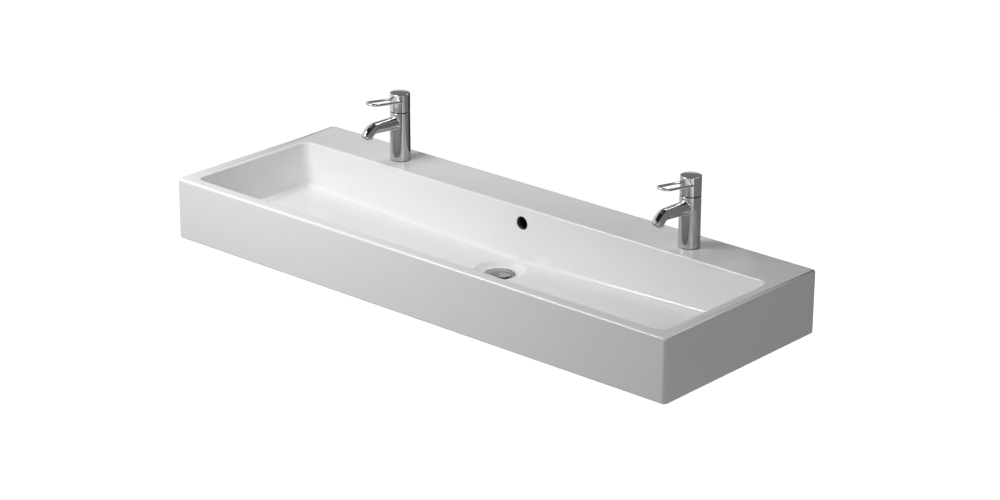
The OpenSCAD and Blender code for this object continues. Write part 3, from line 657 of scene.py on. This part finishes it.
# %% Round the upright corners
SKIRT_CORNER_R = 0.010
HOLLOW_CORNER_R = 0.006
BOWL_CORNER_R = 0.022
BOWL_OUTSIDE_R = 0.032
bevel(shell, corners(HALF_W, -DEPTH, 0.0), SKIRT_CORNER_R, 8)
bevel(shell, corners(HALF_W - WALL, -DEPTH + WALL, -WALL), HOLLOW_CORNER_R, 5)
bevel(shell, corners(BOWL_HALF, BOWL_FRONT, BOWL_BACK), BOWL_CORNER_R, 12)
bevel(shell, corners(BOWL_HALF + WALL, BOWL_FRONT - WALL, BOWL_BACK + WALL), BOWL_OUTSIDE_R, 12)
print("shell faces with round corners:", len(shell.faces))

# %% Soften the floor's crease and its edge
CREASE_R = 0.018
FLOOR_EDGE_R = 0.009
SPARE = 1e-4
creases = [e for e in shell.edges if all(near(v.co.x, 0.0) for v in e.verts)
           and FLAT < e.calc_face_angle(0.0) < SLIGHT]
bevel(shell, creases, CREASE_R, 6)
floor_loop = [e for e in shell.edges if e.calc_face_angle(0.0) > SHARP
              and all(FLOOR_END - FLOOR_FALL - SPARE < v.co.z < FLOOR_END + SPARE for v in e.verts)
              and abs(e.verts[0].co.x) < BOWL_HALF - DRAFT + SPARE
              and BOWL_FRONT < e.verts[0].co.y < BOWL_BACK
              and not rises(e)]
bevel(shell, floor_loop, FLOOR_EDGE_R, 7)
print("floor loop:", len(floor_loop))

# %% [markdown]
# ## Rim, lip and foot
# Glaze keeps no sharp edge. A long highlight runs along the rim, the lip of
# the bowl and the foot, so each is bevelled to its real radius with several
# segments. The edges are picked by their height and by where they lie.

# %% Helpers for level edges
def level_edges(z, keep):
    """Sharp edges that lie at a height and whose middle keep(point) accepts."""
    found = []
    for e in shell.edges:
        a, b = (v.co for v in e.verts)
        if near(a.z, z) and near(b.z, z) and e.calc_face_angle(0.0) > SHARP and keep((a + b) / 2):
            found.append(e)
    return found


def on_skirt(p, width=0.0095):
    """True for points in the outermost strip of the plan."""
    return abs(p.x) > HALF_W - width or p.y > -width or p.y < -DEPTH + width


# %% Round the rim, the lip and the foot
LIP_R = 0.004
RIM_R = 0.005
FOOT_INSIDE_R = 0.002
FOOT_R = 0.004
UNDER_DECK_R = 0.003
bevel(shell, level_edges(RIM_Z, lambda p: not on_skirt(p)), LIP_R, 6)
bevel(shell, level_edges(RIM_Z, on_skirt), RIM_R, 6)
bevel(shell, level_edges(FOOT_Z, lambda p: not on_skirt(p)), FOOT_INSIDE_R, 3)
bevel(shell, level_edges(FOOT_Z, on_skirt), FOOT_R, 5)
bevel(shell, level_edges(RIM_Z - DECK, lambda p: True), UNDER_DECK_R, 3)
basin = to_object(shell, "ceramic_basin")
print("basin faces:", len(basin.data.polygons))

# %% [markdown]
# ## Boss, overflow channel and fixing pads
# Under the bowl the casting has a boss that the waste clamps, a channel that
# leads the overflow down to it, and two thick pads for the wall bolts. Each
# is a closed shape with soft edges that is joined to the shell, and then the
# holes are cut through both.

# %% A helper for boxes with soft edges
def soft_block(low, high, radius):
    """A box with all its edges rounded."""
    bm = block(low, high)
    bevel(bm, bm.edges[:], radius, 4)
    return bm


# %% Add the boss and the overflow's channel
DUCT_HALF = 0.028
DUCT_EDGE_R = 0.005
boss_outline = [(0.0, -0.045), (0.037, -0.045), *arc(0.037, -0.042, 0.003, -90, 0, 4),
                (0.042, -0.012), (0.060, 0.003), (0.060, 0.004), (0.0, 0.004)]
waste_centre = (0.0, WASTE_Y, FLANGE_Z)
combine(basin, turned(boss_outline, waste_centre), "UNION")
channel = soft_block((-DUCT_HALF, -0.113, -0.086), (DUCT_HALF, -0.086, 0.065), DUCT_EDGE_R)
combine(basin, channel, "UNION")
passage = soft_block((-DUCT_HALF, -0.163, -0.086), (DUCT_HALF, -0.0861, -0.058), DUCT_EDGE_R)
combine(basin, passage, "UNION")
print("basin faces with its boss and channel:", len(basin.data.polygons))

# %% Add the pads for the wall bolts
PAD_X = 0.140
PAD_HALF = 0.028
PAD_FRONT, PAD_BACK = -0.018, -0.003
PAD_EDGE_R = 0.002
for x in (-PAD_X, PAD_X):
    pad = soft_block((x - PAD_HALF, PAD_FRONT, -PAD_HALF), (x + PAD_HALF, PAD_BACK, PAD_HALF),
                     PAD_EDGE_R)
    combine(basin, pad, "UNION")
print("basin faces with its pads:", len(basin.data.polygons))

# %% [markdown]
# ## Dish, overflow and holes
# Around the waste the floor dips into a shallow dish. Its cutter is turned
# with the dish's own outline, so the lip of the dish is round at once. The
# overflow's mouth is turned too, and laid on its side in the bowl's back
# wall. The bolts and the taps only need plain round holes.

# %% Cut the dish and the waste hole
dish_outline = [(0.0, -0.046), (0.023, -0.046), (0.023, -0.004), (0.033, -0.004),
                (0.033, -0.0006), (0.0336, 0.0), *arc(0.035, 0.014, 0.014, -90, -60, 5),
                *arc(0.0566, -0.00124, 0.010, 120, 105, 4), (0.064, 0.0111), (0.064, 0.016),
                (0.0, 0.016)]
combine(basin, turned(dish_outline, waste_centre, 128), "DIFFERENCE")
print("basin faces with its dish:", len(basin.data.polygons))

# %% Cut the overflow and its channel
OVERFLOW_Z = 0.037
CAVITY_HALF = 0.020
wall_y = BOWL_BACK - DRAFT * (RIM_Z - OVERFLOW_Z) / (RIM_Z - FLOOR_END)
mouth_outline = [(0.0, -0.014), (0.014, -0.014), *arc(0.0162, -0.0022, 0.0022, 180, 95, 6),
                 (0.0185, 0.0004), (0.0185, 0.004), (0.0, 0.004)]
mouth = turned(mouth_outline, (0.0, 0.0, 0.0), 64)
bmesh.ops.transform(mouth, verts=mouth.verts,
                    matrix=(Matrix.Translation((0.0, wall_y, OVERFLOW_Z))
                            @ Matrix.Rotation(math.radians(90), 4, "X")))
cavity = block((-CAVITY_HALF, -0.108, -0.078), (CAVITY_HALF, -0.094, 0.056))
combine(basin, cavity, "DIFFERENCE")
to_waste = block((-CAVITY_HALF, WASTE_Y, -0.078), (CAVITY_HALF, -0.0941, -0.066))
combine(basin, to_waste, "DIFFERENCE")
combine(basin, mouth, "DIFFERENCE")
print("basin faces with its overflow:", len(basin.data.polygons))

# %% Cut the holes for the bolts and the taps
BOLT_R = 0.008
TAP_X = 0.388
TAP_Y = -0.066
TAP_HOLE_R = 0.0175
PAST = 0.002  # how far a cutter reaches past a surface
for x in (-PAD_X, PAD_X):
    hole = rod(BOLT_R, (x, -0.022, 0.0), (x, PAST, 0.0))
    combine(basin, hole, "DIFFERENCE")
for x in (-TAP_X, TAP_X):
    hole = rod(TAP_HOLE_R, (x, TAP_Y, RIM_Z - DECK - PAST), (x, TAP_Y, RIM_Z + PAST), 64)
    combine(basin, hole, "DIFFERENCE")
print("basin faces with all its holes:", len(basin.data.polygons))

# %% Glaze the basin
FIXED = "basin_and_fixed_parts"
dress(basin, glaze, FIXED, ["basin"])

# %% [markdown]
# ## The waste
# A chromed flange lies in the recess of the dish. Its tube runs down through
# the boss and has a pipe thread for the back nut and the trap. The body is
# one outline spun about the middle. A thread could be a stack of rings, but a
# zigzag line that climbs one pitch while it is spun once round gives a true
# helix with the same operator. Four windows let the overflow's water in.

# %% A helper for threads
CREST = (0.4, 0.55)  # where the crest starts and ends, as a share of the pitch


def threaded_rod(radius, pitch, depth, centre, low, high, steps=48):
    """A closed rod with a helical thread between two heights."""
    bm = bmesh.new()
    turns = int((high - low) / pitch) + 3
    line = []
    for k in range(turns):
        start = low + (k - 1.5) * pitch
        line.append((radius - depth, start))
        line += [(radius, start + share * pitch) for share in CREST]
    points = [bm.verts.new((centre[0] + r, centre[1], centre[2] + z)) for r, z in line]
    for first, second in zip(points, points[1:]):
        bm.edges.new((first, second))
    bmesh.ops.spin(bm, geom=bm.verts[:] + bm.edges[:], cent=centre, axis=(0.0, 0.0, 1.0),
                   dvec=(0.0, 0.0, pitch / steps), angle=2 * math.pi, steps=steps,
                   use_merge=False, use_duplicate=False)
    bmesh.ops.remove_doubles(bm, verts=bm.verts, dist=WELD)
    for z, side in ((low, -1.0), (high, 1.0)):
        bmesh.ops.bisect_plane(bm, geom=bm.verts[:] + bm.edges[:] + bm.faces[:],
                               plane_co=(0.0, 0.0, centre[2] + z), plane_no=(0.0, 0.0, side),
                               clear_outer=True)
        ends = [e for e in bm.edges if e.is_boundary
                and all(near(v.co.z, centre[2] + z) for v in e.verts)]
        bmesh.ops.contextual_create(bm, geom=ends)
    return bm


# %% Turn the waste's body
TUBE_R = 0.02095
TUBE_BORE = 0.01815
TUBE_END = -0.0935
THREAD_TOP = -0.040
THREAD_DEPTH = 0.0012
PIPE_PITCH = 0.00231
flange_outline = [(0.0, -0.0445), (0.0200, -0.0445), (0.0200, -0.039), (TUBE_R, -0.038),
                  (TUBE_R, -0.0030), (0.0312, -0.0030), (0.0315, -0.0027),
                  *arc(0.0300, -0.0015, 0.0015, 0, 90, 6), (0.0294, -0.0001),
                  (0.01965, -0.0016), (0.0, -0.0016)]
waste = to_object(turned(flange_outline, waste_centre), "waste_flange")
thread = threaded_rod(TUBE_R, PIPE_PITCH, THREAD_DEPTH, waste_centre, TUBE_END, THREAD_TOP)
combine(waste, thread, "UNION")
print("flange and thread, faces:", len(waste.data.polygons))

# %% Bore the tube and cut its windows
BORE_SIDES = 97  # not the flange's 96, so no corner of the bore falls on one of its edges
WINDOW_HALF = 0.007
WINDOW_LOW, WINDOW_HIGH = FLANGE_Z - 0.023, FLANGE_Z - 0.013
bore = rod(TUBE_BORE, (0.0, WASTE_Y, FLANGE_Z - 0.096), (0.0, WASTE_Y, FLANGE_Z + 0.001),
           BORE_SIDES)
combine(waste, bore, "DIFFERENCE")
for quarter in range(4):
    window = block((TUBE_BORE - 0.002, -WINDOW_HALF, WINDOW_LOW),
                   (TUBE_R + 0.003, WINDOW_HALF, WINDOW_HIGH))
    place = (Matrix.Translation((0.0, WASTE_Y, 0.0))
             @ Matrix.Rotation(math.radians(45 + 90 * quarter), 4, "Z"))
    bmesh.ops.transform(window, matrix=place, verts=window.verts)
    combine(waste, window, "DIFFERENCE")
dress(waste, waste_wear_and_painted_shade, FIXED, ["waste_body"])

# %% [markdown]
# ## The plug
# The plug is a flat dome with a rim, a groove for its rubber ring and a stem.
# The dome is part of a large ball, whose radius follows from how wide the
# plug is and how far it is domed. It rides on its own body, so it can rise.

# %% Turn the plug
PLUG_R = 0.025
PLUG_CROWN = 0.0034
crown_r = (PLUG_R ** 2 + PLUG_CROWN ** 2) / (2 * PLUG_CROWN)
plug_outline = [(0.0, -0.036), (0.0032, -0.036), (0.00365, -0.0355), (0.00365, -0.0034),
                (0.0153, -0.0034), (0.01585, -0.0029), (0.01585, -0.0004), (0.0246, -0.0004),
                (0.025, 0.0), (0.025, 0.0005),
                *arc(0.0, 0.0040 - crown_r, crown_r, 75, 90, 12)]
plug = to_object(turned(plug_outline, waste_centre), "domed_plug")
dress(plug, waste_wear_and_painted_shade, "plug", ["waste_plug"])

# %% [markdown]
# ## The taps
# Both taps are the same, so each piece is modelled once, with its origin on
# the deck in the middle of the tap, and its mesh is then copied to both
# places. A linked copy would be lighter, but a finished piece has its place
# in its mesh, so each tap has meshes of its own.

# %% Sizes of the tap, in metres above the deck
TAP_R = 0.0215
TAP_FOOT_R = 0.02225
GASKET = 0.0012
BODY_H = 0.107
CHAMBER_Z = 0.06195
CHAMBER_R = 0.01735
PIVOT_Z = 0.097
SPOUT_Z = 0.084
SPOUT_RISE = math.radians(3)
SPOUT_RUN = 0.077
BEND_R = 0.026
BEND_TURN = math.radians(48)
NOSE_L = 0.009
ROOT_R = 0.0145
TIP_R = 0.0122
SPOUT_L = SPOUT_RUN + BEND_R * BEND_TURN + NOSE_L
print("spout, along its middle:", round(SPOUT_L, 4), "m")


# %% A helper that copies a shape to both taps
def for_both_taps(shape, name, material, body, replaced):
    """Dress a copy of a shape at each tap. {} in a name stands for the side."""
    for side, x in (("left", -TAP_X), ("right", TAP_X)):
        mesh = shape.data.copy()
        mesh.transform(Matrix.Translation((x, TAP_Y, RIM_Z)))
        piece = bpy.data.objects.new(f"{side}_{name}", mesh)
        bpy.context.scene.collection.objects.link(piece)
        dress(piece, material, body.format(side), [n.format(side) for n in replaced])
    bpy.data.objects.remove(shape)


# %% [markdown]
# ## The spout
# The spout rises slightly, narrows, and bends down to its nose. A curve with
# a round profile would give such a pipe, but not the place where it grows out
# of the body. Here a circle is extruded step by step along the centre line.
# Its first rings are laid on the round body and flare out, like the fillet of
# a real casting. Each step takes the old end face out, or walls would stay
# inside and the boolean would fail on them.

# %% The spout's centre line
def station(distance):
    """Place and turn of the spout's section that far along its centre line."""
    start = (Matrix.Translation((0.0, 0.0, SPOUT_Z))
             @ Matrix.Rotation(math.pi / 2 - SPOUT_RISE, 4, "X"))
    turn = min(max(distance - SPOUT_RUN, 0.0) / BEND_R, BEND_TURN)
    straight = min(distance, SPOUT_RUN)
    nose = max(distance - SPOUT_RUN - BEND_R * BEND_TURN, 0.0)
    return (start @ Matrix.Translation((0.0, -BEND_R, straight))
            @ Matrix.Rotation(turn, 4, "X") @ Matrix.Translation((0.0, BEND_R, nose)))


# %% Helpers that draw a circle along the spout
def extend(bm, end, matrix):
    """Extrude an end face, move the new one, and take out the old one if it lies inside."""
    left_inside = all(len(e.link_faces) > 1 for e in end.edges)
    made = bmesh.ops.extrude_face_region(bm, geom=[end])["geom"]
    new_end = next(g for g in made if isinstance(g, bmesh.types.BMFace))
    bmesh.ops.transform(bm, matrix=matrix, verts=new_end.verts[:])
    if left_inside:
        bmesh.ops.delete(bm, geom=[end], context="FACES_ONLY")
    return new_end


def follow(bm, end, start, sections):
    """Extrude an end face through (distance, radius) sections of the centre line."""
    distance, radius = start
    for next_distance, next_radius in sections:
        shrink = next_radius / radius
        flat = Matrix.Diagonal((shrink, shrink, 0.0, 1.0))
        end = extend(bm, end, station(next_distance) @ flat @ station(distance).inverted())
        distance, radius = next_distance, next_radius


# %% Helpers that lay a ring on the body
def body_radius(z):
    """Radius of the body, which narrows a little upwards."""
    return TAP_FOOT_R + (TAP_R - TAP_FOOT_R) * (z - GASKET) / (BODY_H - GASKET)


def lay_on_body(end, clearance):
    """Slide a ring along the spout until it lies that far outside the body."""
    way = station(0.0).to_3x3() @ Vector((0.0, 0.0, 1.0))
    for v in end.verts:
        goal = -math.sqrt((body_radius(v.co.z) + clearance) ** 2 - v.co.x ** 2)
        v.co += way * ((goal - v.co.y) / way.y)


# %% Model the spout
BEND_STEPS = 12
SPOUT_START = 0.006  # inside the body
TAPER_START = 0.0300  # past the fillet
FILLET = ((-0.0001, 0.0019), (0.0001, 0.0011), (0.0004, 0.00062), (0.0008, 0.00024),
          (0.0012, 0.00008), (0.0016, 0.0))  # each ring's distance from the body, and its flare
bend_stops = [SPOUT_RUN + BEND_R * BEND_TURN * i / BEND_STEPS for i in range(BEND_STEPS + 1)]
narrowing = (TIP_R - ROOT_R) / SPOUT_RUN
root_r = ROOT_R + narrowing * TAP_R

spout = bmesh.new()
here = station(SPOUT_START)
bmesh.ops.create_circle(spout, cap_ends=True, segments=72, radius=root_r, matrix=here)
end = spout.faces[:][0]
ring_r = root_r
for clearance, flare in FILLET:
    grow = (root_r + flare) / ring_r
    end = extend(spout, end, here @ Matrix.Diagonal((grow, grow, 1.0, 1.0)) @ here.inverted())
    lay_on_body(end, clearance)
    ring_r = root_r + flare
nose_rounding = [(SPOUT_L - 0.0008, TIP_R), (SPOUT_L - 0.00035, TIP_R - 0.00012),
                 (SPOUT_L - 0.0001, TIP_R - 0.00042), (SPOUT_L, TIP_R - 0.0009)]
taper = [(TAPER_START, ROOT_R + narrowing * TAPER_START)]
follow(spout, end, (SPOUT_START, root_r), taper + [(d, TIP_R) for d in bend_stops] + nose_rounding)
print("spout faces:", len(spout.faces))

# %% Model the waterway inside it
WATER_START = 0.011
WATER_R = 0.007
AERATOR_R = 0.0103
AERATOR_L = 0.008
waterway = bmesh.new()
bmesh.ops.create_circle(waterway, cap_ends=True, segments=48, radius=WATER_R,
                        matrix=station(WATER_START))
follow(waterway, waterway.faces[:][0], (WATER_START, WATER_R),
       [(d, WATER_R) for d in bend_stops] + [(SPOUT_L - AERATOR_L, WATER_R),
                                             (SPOUT_L - AERATOR_L, AERATOR_R),
                                             (SPOUT_L + 0.001, AERATOR_R)])
print("waterway faces:", len(waterway.faces))

# %% [markdown]
# ## The body
# The body is turned, hardly wider at its foot, with small radii above and
# below. It joins the spout, and everything that water and fixings need is
# then cut out of both: the chamber for the cartridge, the waterway to the
# nose, two inlets and the hole for the stud.

# %% Turn the body and join the spout
FOOT_EDGE_R = 0.0008
TOP_EDGE_R = 0.0011
origin = (0.0, 0.0, 0.0)
body_outline = [(0.0, GASKET),
                *arc(TAP_FOOT_R - FOOT_EDGE_R, GASKET + FOOT_EDGE_R, FOOT_EDGE_R, -90, 0, 4),
                *arc(TAP_R - TOP_EDGE_R, BODY_H - TOP_EDGE_R, TOP_EDGE_R, 0, 90, 5), (0.0, BODY_H)]
tap = to_object(turned(body_outline, origin, 128), "tap")
combine(tap, spout, "UNION")
print("body faces with its spout:", len(tap.data.polygons))

# %% Bore the body
INLET_X, INLET_Y = 0.007, 0.005
INLET_R, INLET_H = 0.0045, 0.014
PORT_R, PORT_Z = 0.0035, 0.010
STUD_Y, STUD_R, STUD_H = -0.0115, 0.00415, 0.0132
chamber = rod(CHAMBER_R, (0.0, 0.0, CHAMBER_Z), (0.0, 0.0, BODY_H + 0.001), 96)
combine(tap, chamber, "DIFFERENCE")
combine(tap, waterway, "DIFFERENCE")
for x in (-INLET_X, INLET_X):
    inlet = rod(INLET_R, (x, INLET_Y, 0.0), (x, INLET_Y, GASKET + INLET_H))
    combine(tap, inlet, "DIFFERENCE")
    port = rod(PORT_R, (x, INLET_Y, PORT_Z), (x, INLET_Y, CHAMBER_Z + 0.001))
    combine(tap, port, "DIFFERENCE")
stud_hole = rod(STUD_R, (0.0, STUD_Y, 0.0), (0.0, STUD_Y, STUD_H))
combine(tap, stud_hole, "DIFFERENCE")
for_both_taps(tap, "chrome_body", chrome, FIXED, ["{}_tap_body"])

# %% [markdown]
# ## The handle
# The cap is turned, with a shallow dome on top and a hollow underside that
# follows the ball-shaped collar it tilts on. Both have the ball's middle as
# their centre, so the cap can tilt without touching the collar.

# %% Turn the cap
BALL_R = 0.02406
CAP_TOP = 0.149
CROWN = 0.0007
CROWN_EDGE = 0.02015
SHOULDER_R = 0.0016
SOCKET_HALF = 0.0041
cap_crown_r = (TAP_R ** 2 + CROWN ** 2) / (2 * CROWN)
slope = math.degrees(math.asin(CROWN_EDGE / cap_crown_r))
level_share = math.cos(math.radians(slope))
shoulder_z = CAP_TOP - cap_crown_r * (1 - level_share) - SHOULDER_R * level_share
cap_outline = [*arc(0.0, PIVOT_Z, BALL_R, 90, 68.04, 5), (0.009, 0.1245), (0.018, 0.1245),
               *arc(0.0, PIVOT_Z, BALL_R, 41.57, 29.9, 5), (0.0211, 0.1091), (TAP_R, 0.1094),
               *arc(TAP_R - SHOULDER_R, shoulder_z, SHOULDER_R, 0, 90 - slope, 6),
               *arc(0.0, CAP_TOP - cap_crown_r, cap_crown_r, 90 - slope + 0.6, 90, 12)]
cap = to_object(turned(cap_outline, origin, 128), "cap")
socket = block((-SOCKET_HALF, -SOCKET_HALF, 0.107), (SOCKET_HALF, SOCKET_HALF, 0.1342))
combine(cap, socket, "DIFFERENCE")
print("cap faces:", len(cap.data.polygons))

# %% [markdown]
# ## The lever's loop
# The lever is one bent rod that starts and ends in the cap. A curve would do,
# but the same helper that drew the spout makes it from a circle: straight
# out, spun through half a turn, and straight back.

# %% Bend the loop
LOOP_Z = 0.131
LOOP_TILT = math.radians(8)
LOOP_R = 0.0145
LOOP_REACH = 0.0955
ROD_R = 0.00275
ROD_ROOT = 0.006
lever = Matrix.Translation((0.0, 0.0, LOOP_Z)) @ Matrix.Rotation(-LOOP_TILT, 4, "X")
bow_y = LOOP_R - LOOP_REACH
loop = bmesh.new()
bmesh.ops.create_circle(loop, cap_ends=True, segments=32, radius=ROD_R,
                        matrix=(Matrix.Translation((-LOOP_R, -ROD_ROOT, 0.0))
                                @ Matrix.Rotation(math.pi / 2, 4, "X")))
end = extend(loop, loop.faces[:][0], Matrix.Translation((0.0, bow_y + ROD_ROOT, 0.0)))
bow = bmesh.ops.spin(loop, geom=[end], cent=(0.0, bow_y, 0.0), axis=(0.0, 0.0, 1.0),
                     angle=math.pi, steps=32, use_duplicate=False)["geom_last"]
bmesh.ops.delete(loop, geom=[end], context="FACES_ONLY")
end = next(g for g in bow if isinstance(g, bmesh.types.BMFace))
extend(loop, end, Matrix.Translation((0.0, -ROD_ROOT - bow_y, 0.0)))
bmesh.ops.transform(loop, matrix=lever, verts=loop.verts)
loop = to_object(loop, "loop")
print("loop faces:", len(loop.data.polygons))

# %% Drill the cap for the rods and the grub screw
ROD_PLAY = 0.00005
SCREW_Z = 0.130
SCREW_R = 0.0026
SCREW_PLUG_R = 0.0036
for x in (-LOOP_R, LOOP_R):
    start, end = (lever @ Vector((x, y, 0.0)) for y in (-ROD_ROOT + 0.0001, -0.030))
    combine(cap, rod(ROD_R + ROD_PLAY, start, end), "DIFFERENCE")
screw_hole = rod(SCREW_R, (0.0, 0.0, SCREW_Z), (0.0, TAP_R + 0.001, SCREW_Z))
combine(cap, screw_hole, "DIFFERENCE")
screw_mouth = rod(SCREW_PLUG_R, (0.0, TAP_R - 0.0045, SCREW_Z), (0.0, TAP_R + 0.001, SCREW_Z))
combine(cap, screw_mouth, "DIFFERENCE")
for_both_taps(cap, "chrome_cap", chrome, "{}_handle", ["{}_handle_cap"])
for_both_taps(loop, "chrome_loop", chrome, "{}_handle", ["{}_lever_loop"])

# %% [markdown]
# ## The collar and the aerator's ring
# The collar shows as the dark line between body and cap, and its upper part
# is the ball that the cap glides over. The aerator's ring closes the nose of
# the spout. It is turned upright like all the rest, and the centre line then
# gives the place and the slant of the nose.

# %% Turn the collar
DOME_R = 0.02371
DOME_INSIDE_R = 0.02151
collar_outline = [(0.0190, BODY_H), (0.0190, 0.1086), *arc(0.0, PIVOT_Z, DOME_R, 29.3, 52.15, 8),
                  *arc(0.0, PIVOT_Z, DOME_INSIDE_R, 47.4, 32.3, 5),
                  (0.01455, 0.1085), (0.01455, 0.101), (0.0172, 0.101), (0.0172, BODY_H)]
collar = to_object(turned(collar_outline, origin, 128), "collar")
# the collar's chrome is painted dark, as the shade in the groove under the cap
for_both_taps(collar, "chrome_collar", painted_shade_chrome, FIXED, ["{}_dome_ring"])

# %% Turn the aerator's ring
ring_outline = [(0.0090, -0.0075), (0.01015, -0.0075), (0.01015, 0.0), (0.0114, 0.0),
                (0.0118, 0.0004), *arc(0.0110, 0.0022, 0.0008, 0, 90, 5), (0.00835, 0.0030),
                (0.00805, 0.0027), (0.00805, 0.0020), (0.0090, 0.0020)]
ring = turned(ring_outline, origin, 72)
bmesh.ops.transform(ring, matrix=station(SPOUT_L), verts=ring.verts)
ring = to_object(ring, "ring")
for_both_taps(ring, "aerator_ring", chrome, FIXED, ["{}_aerator_housing"])

# %% [markdown]
# ## The pieces that keep their CAD shape
# Seals, washers, nuts, cartridges and screws already have their true shape,
# so they only get their finish.

# %% Finish the remaining nodes
KEPT = {"waste_top_seal": rubber, "waste_bottom_seal": rubber, "waste_plug_seal": rubber,
        "waste_washer": steel, "waste_backnut": brass, "waste_click_insert": cartridge_plastic}
KEPT_AT_TAPS = {"base_gasket": rubber, "aerator_insert": aerator_plastic,
                "cartridge_housing": cartridge_plastic, "cartridge_base": cartridge_plastic,
                "fixed_disc": disc_ceramic, "moving_disc": disc_ceramic,
                "spindle_carrier": cartridge_plastic, "spindle_pin": steel, "spindle": steel,
                "cartridge_nut": brass, "handle_screw": steel, "screw_plug": chrome,
                "fixing_stud": brass, "rubber_horseshoe": rubber, "steel_horseshoe": steel,
                "fixing_nut": brass}
for side in ("left", "right"):
    KEPT.update({f"{side}_{name}": material for name, material in KEPT_AT_TAPS.items()})
for name, material in KEPT.items():
    for slot in nodes[name].material_slots:
        slot.material = material
print("nodes that keep their shape:", len(KEPT))
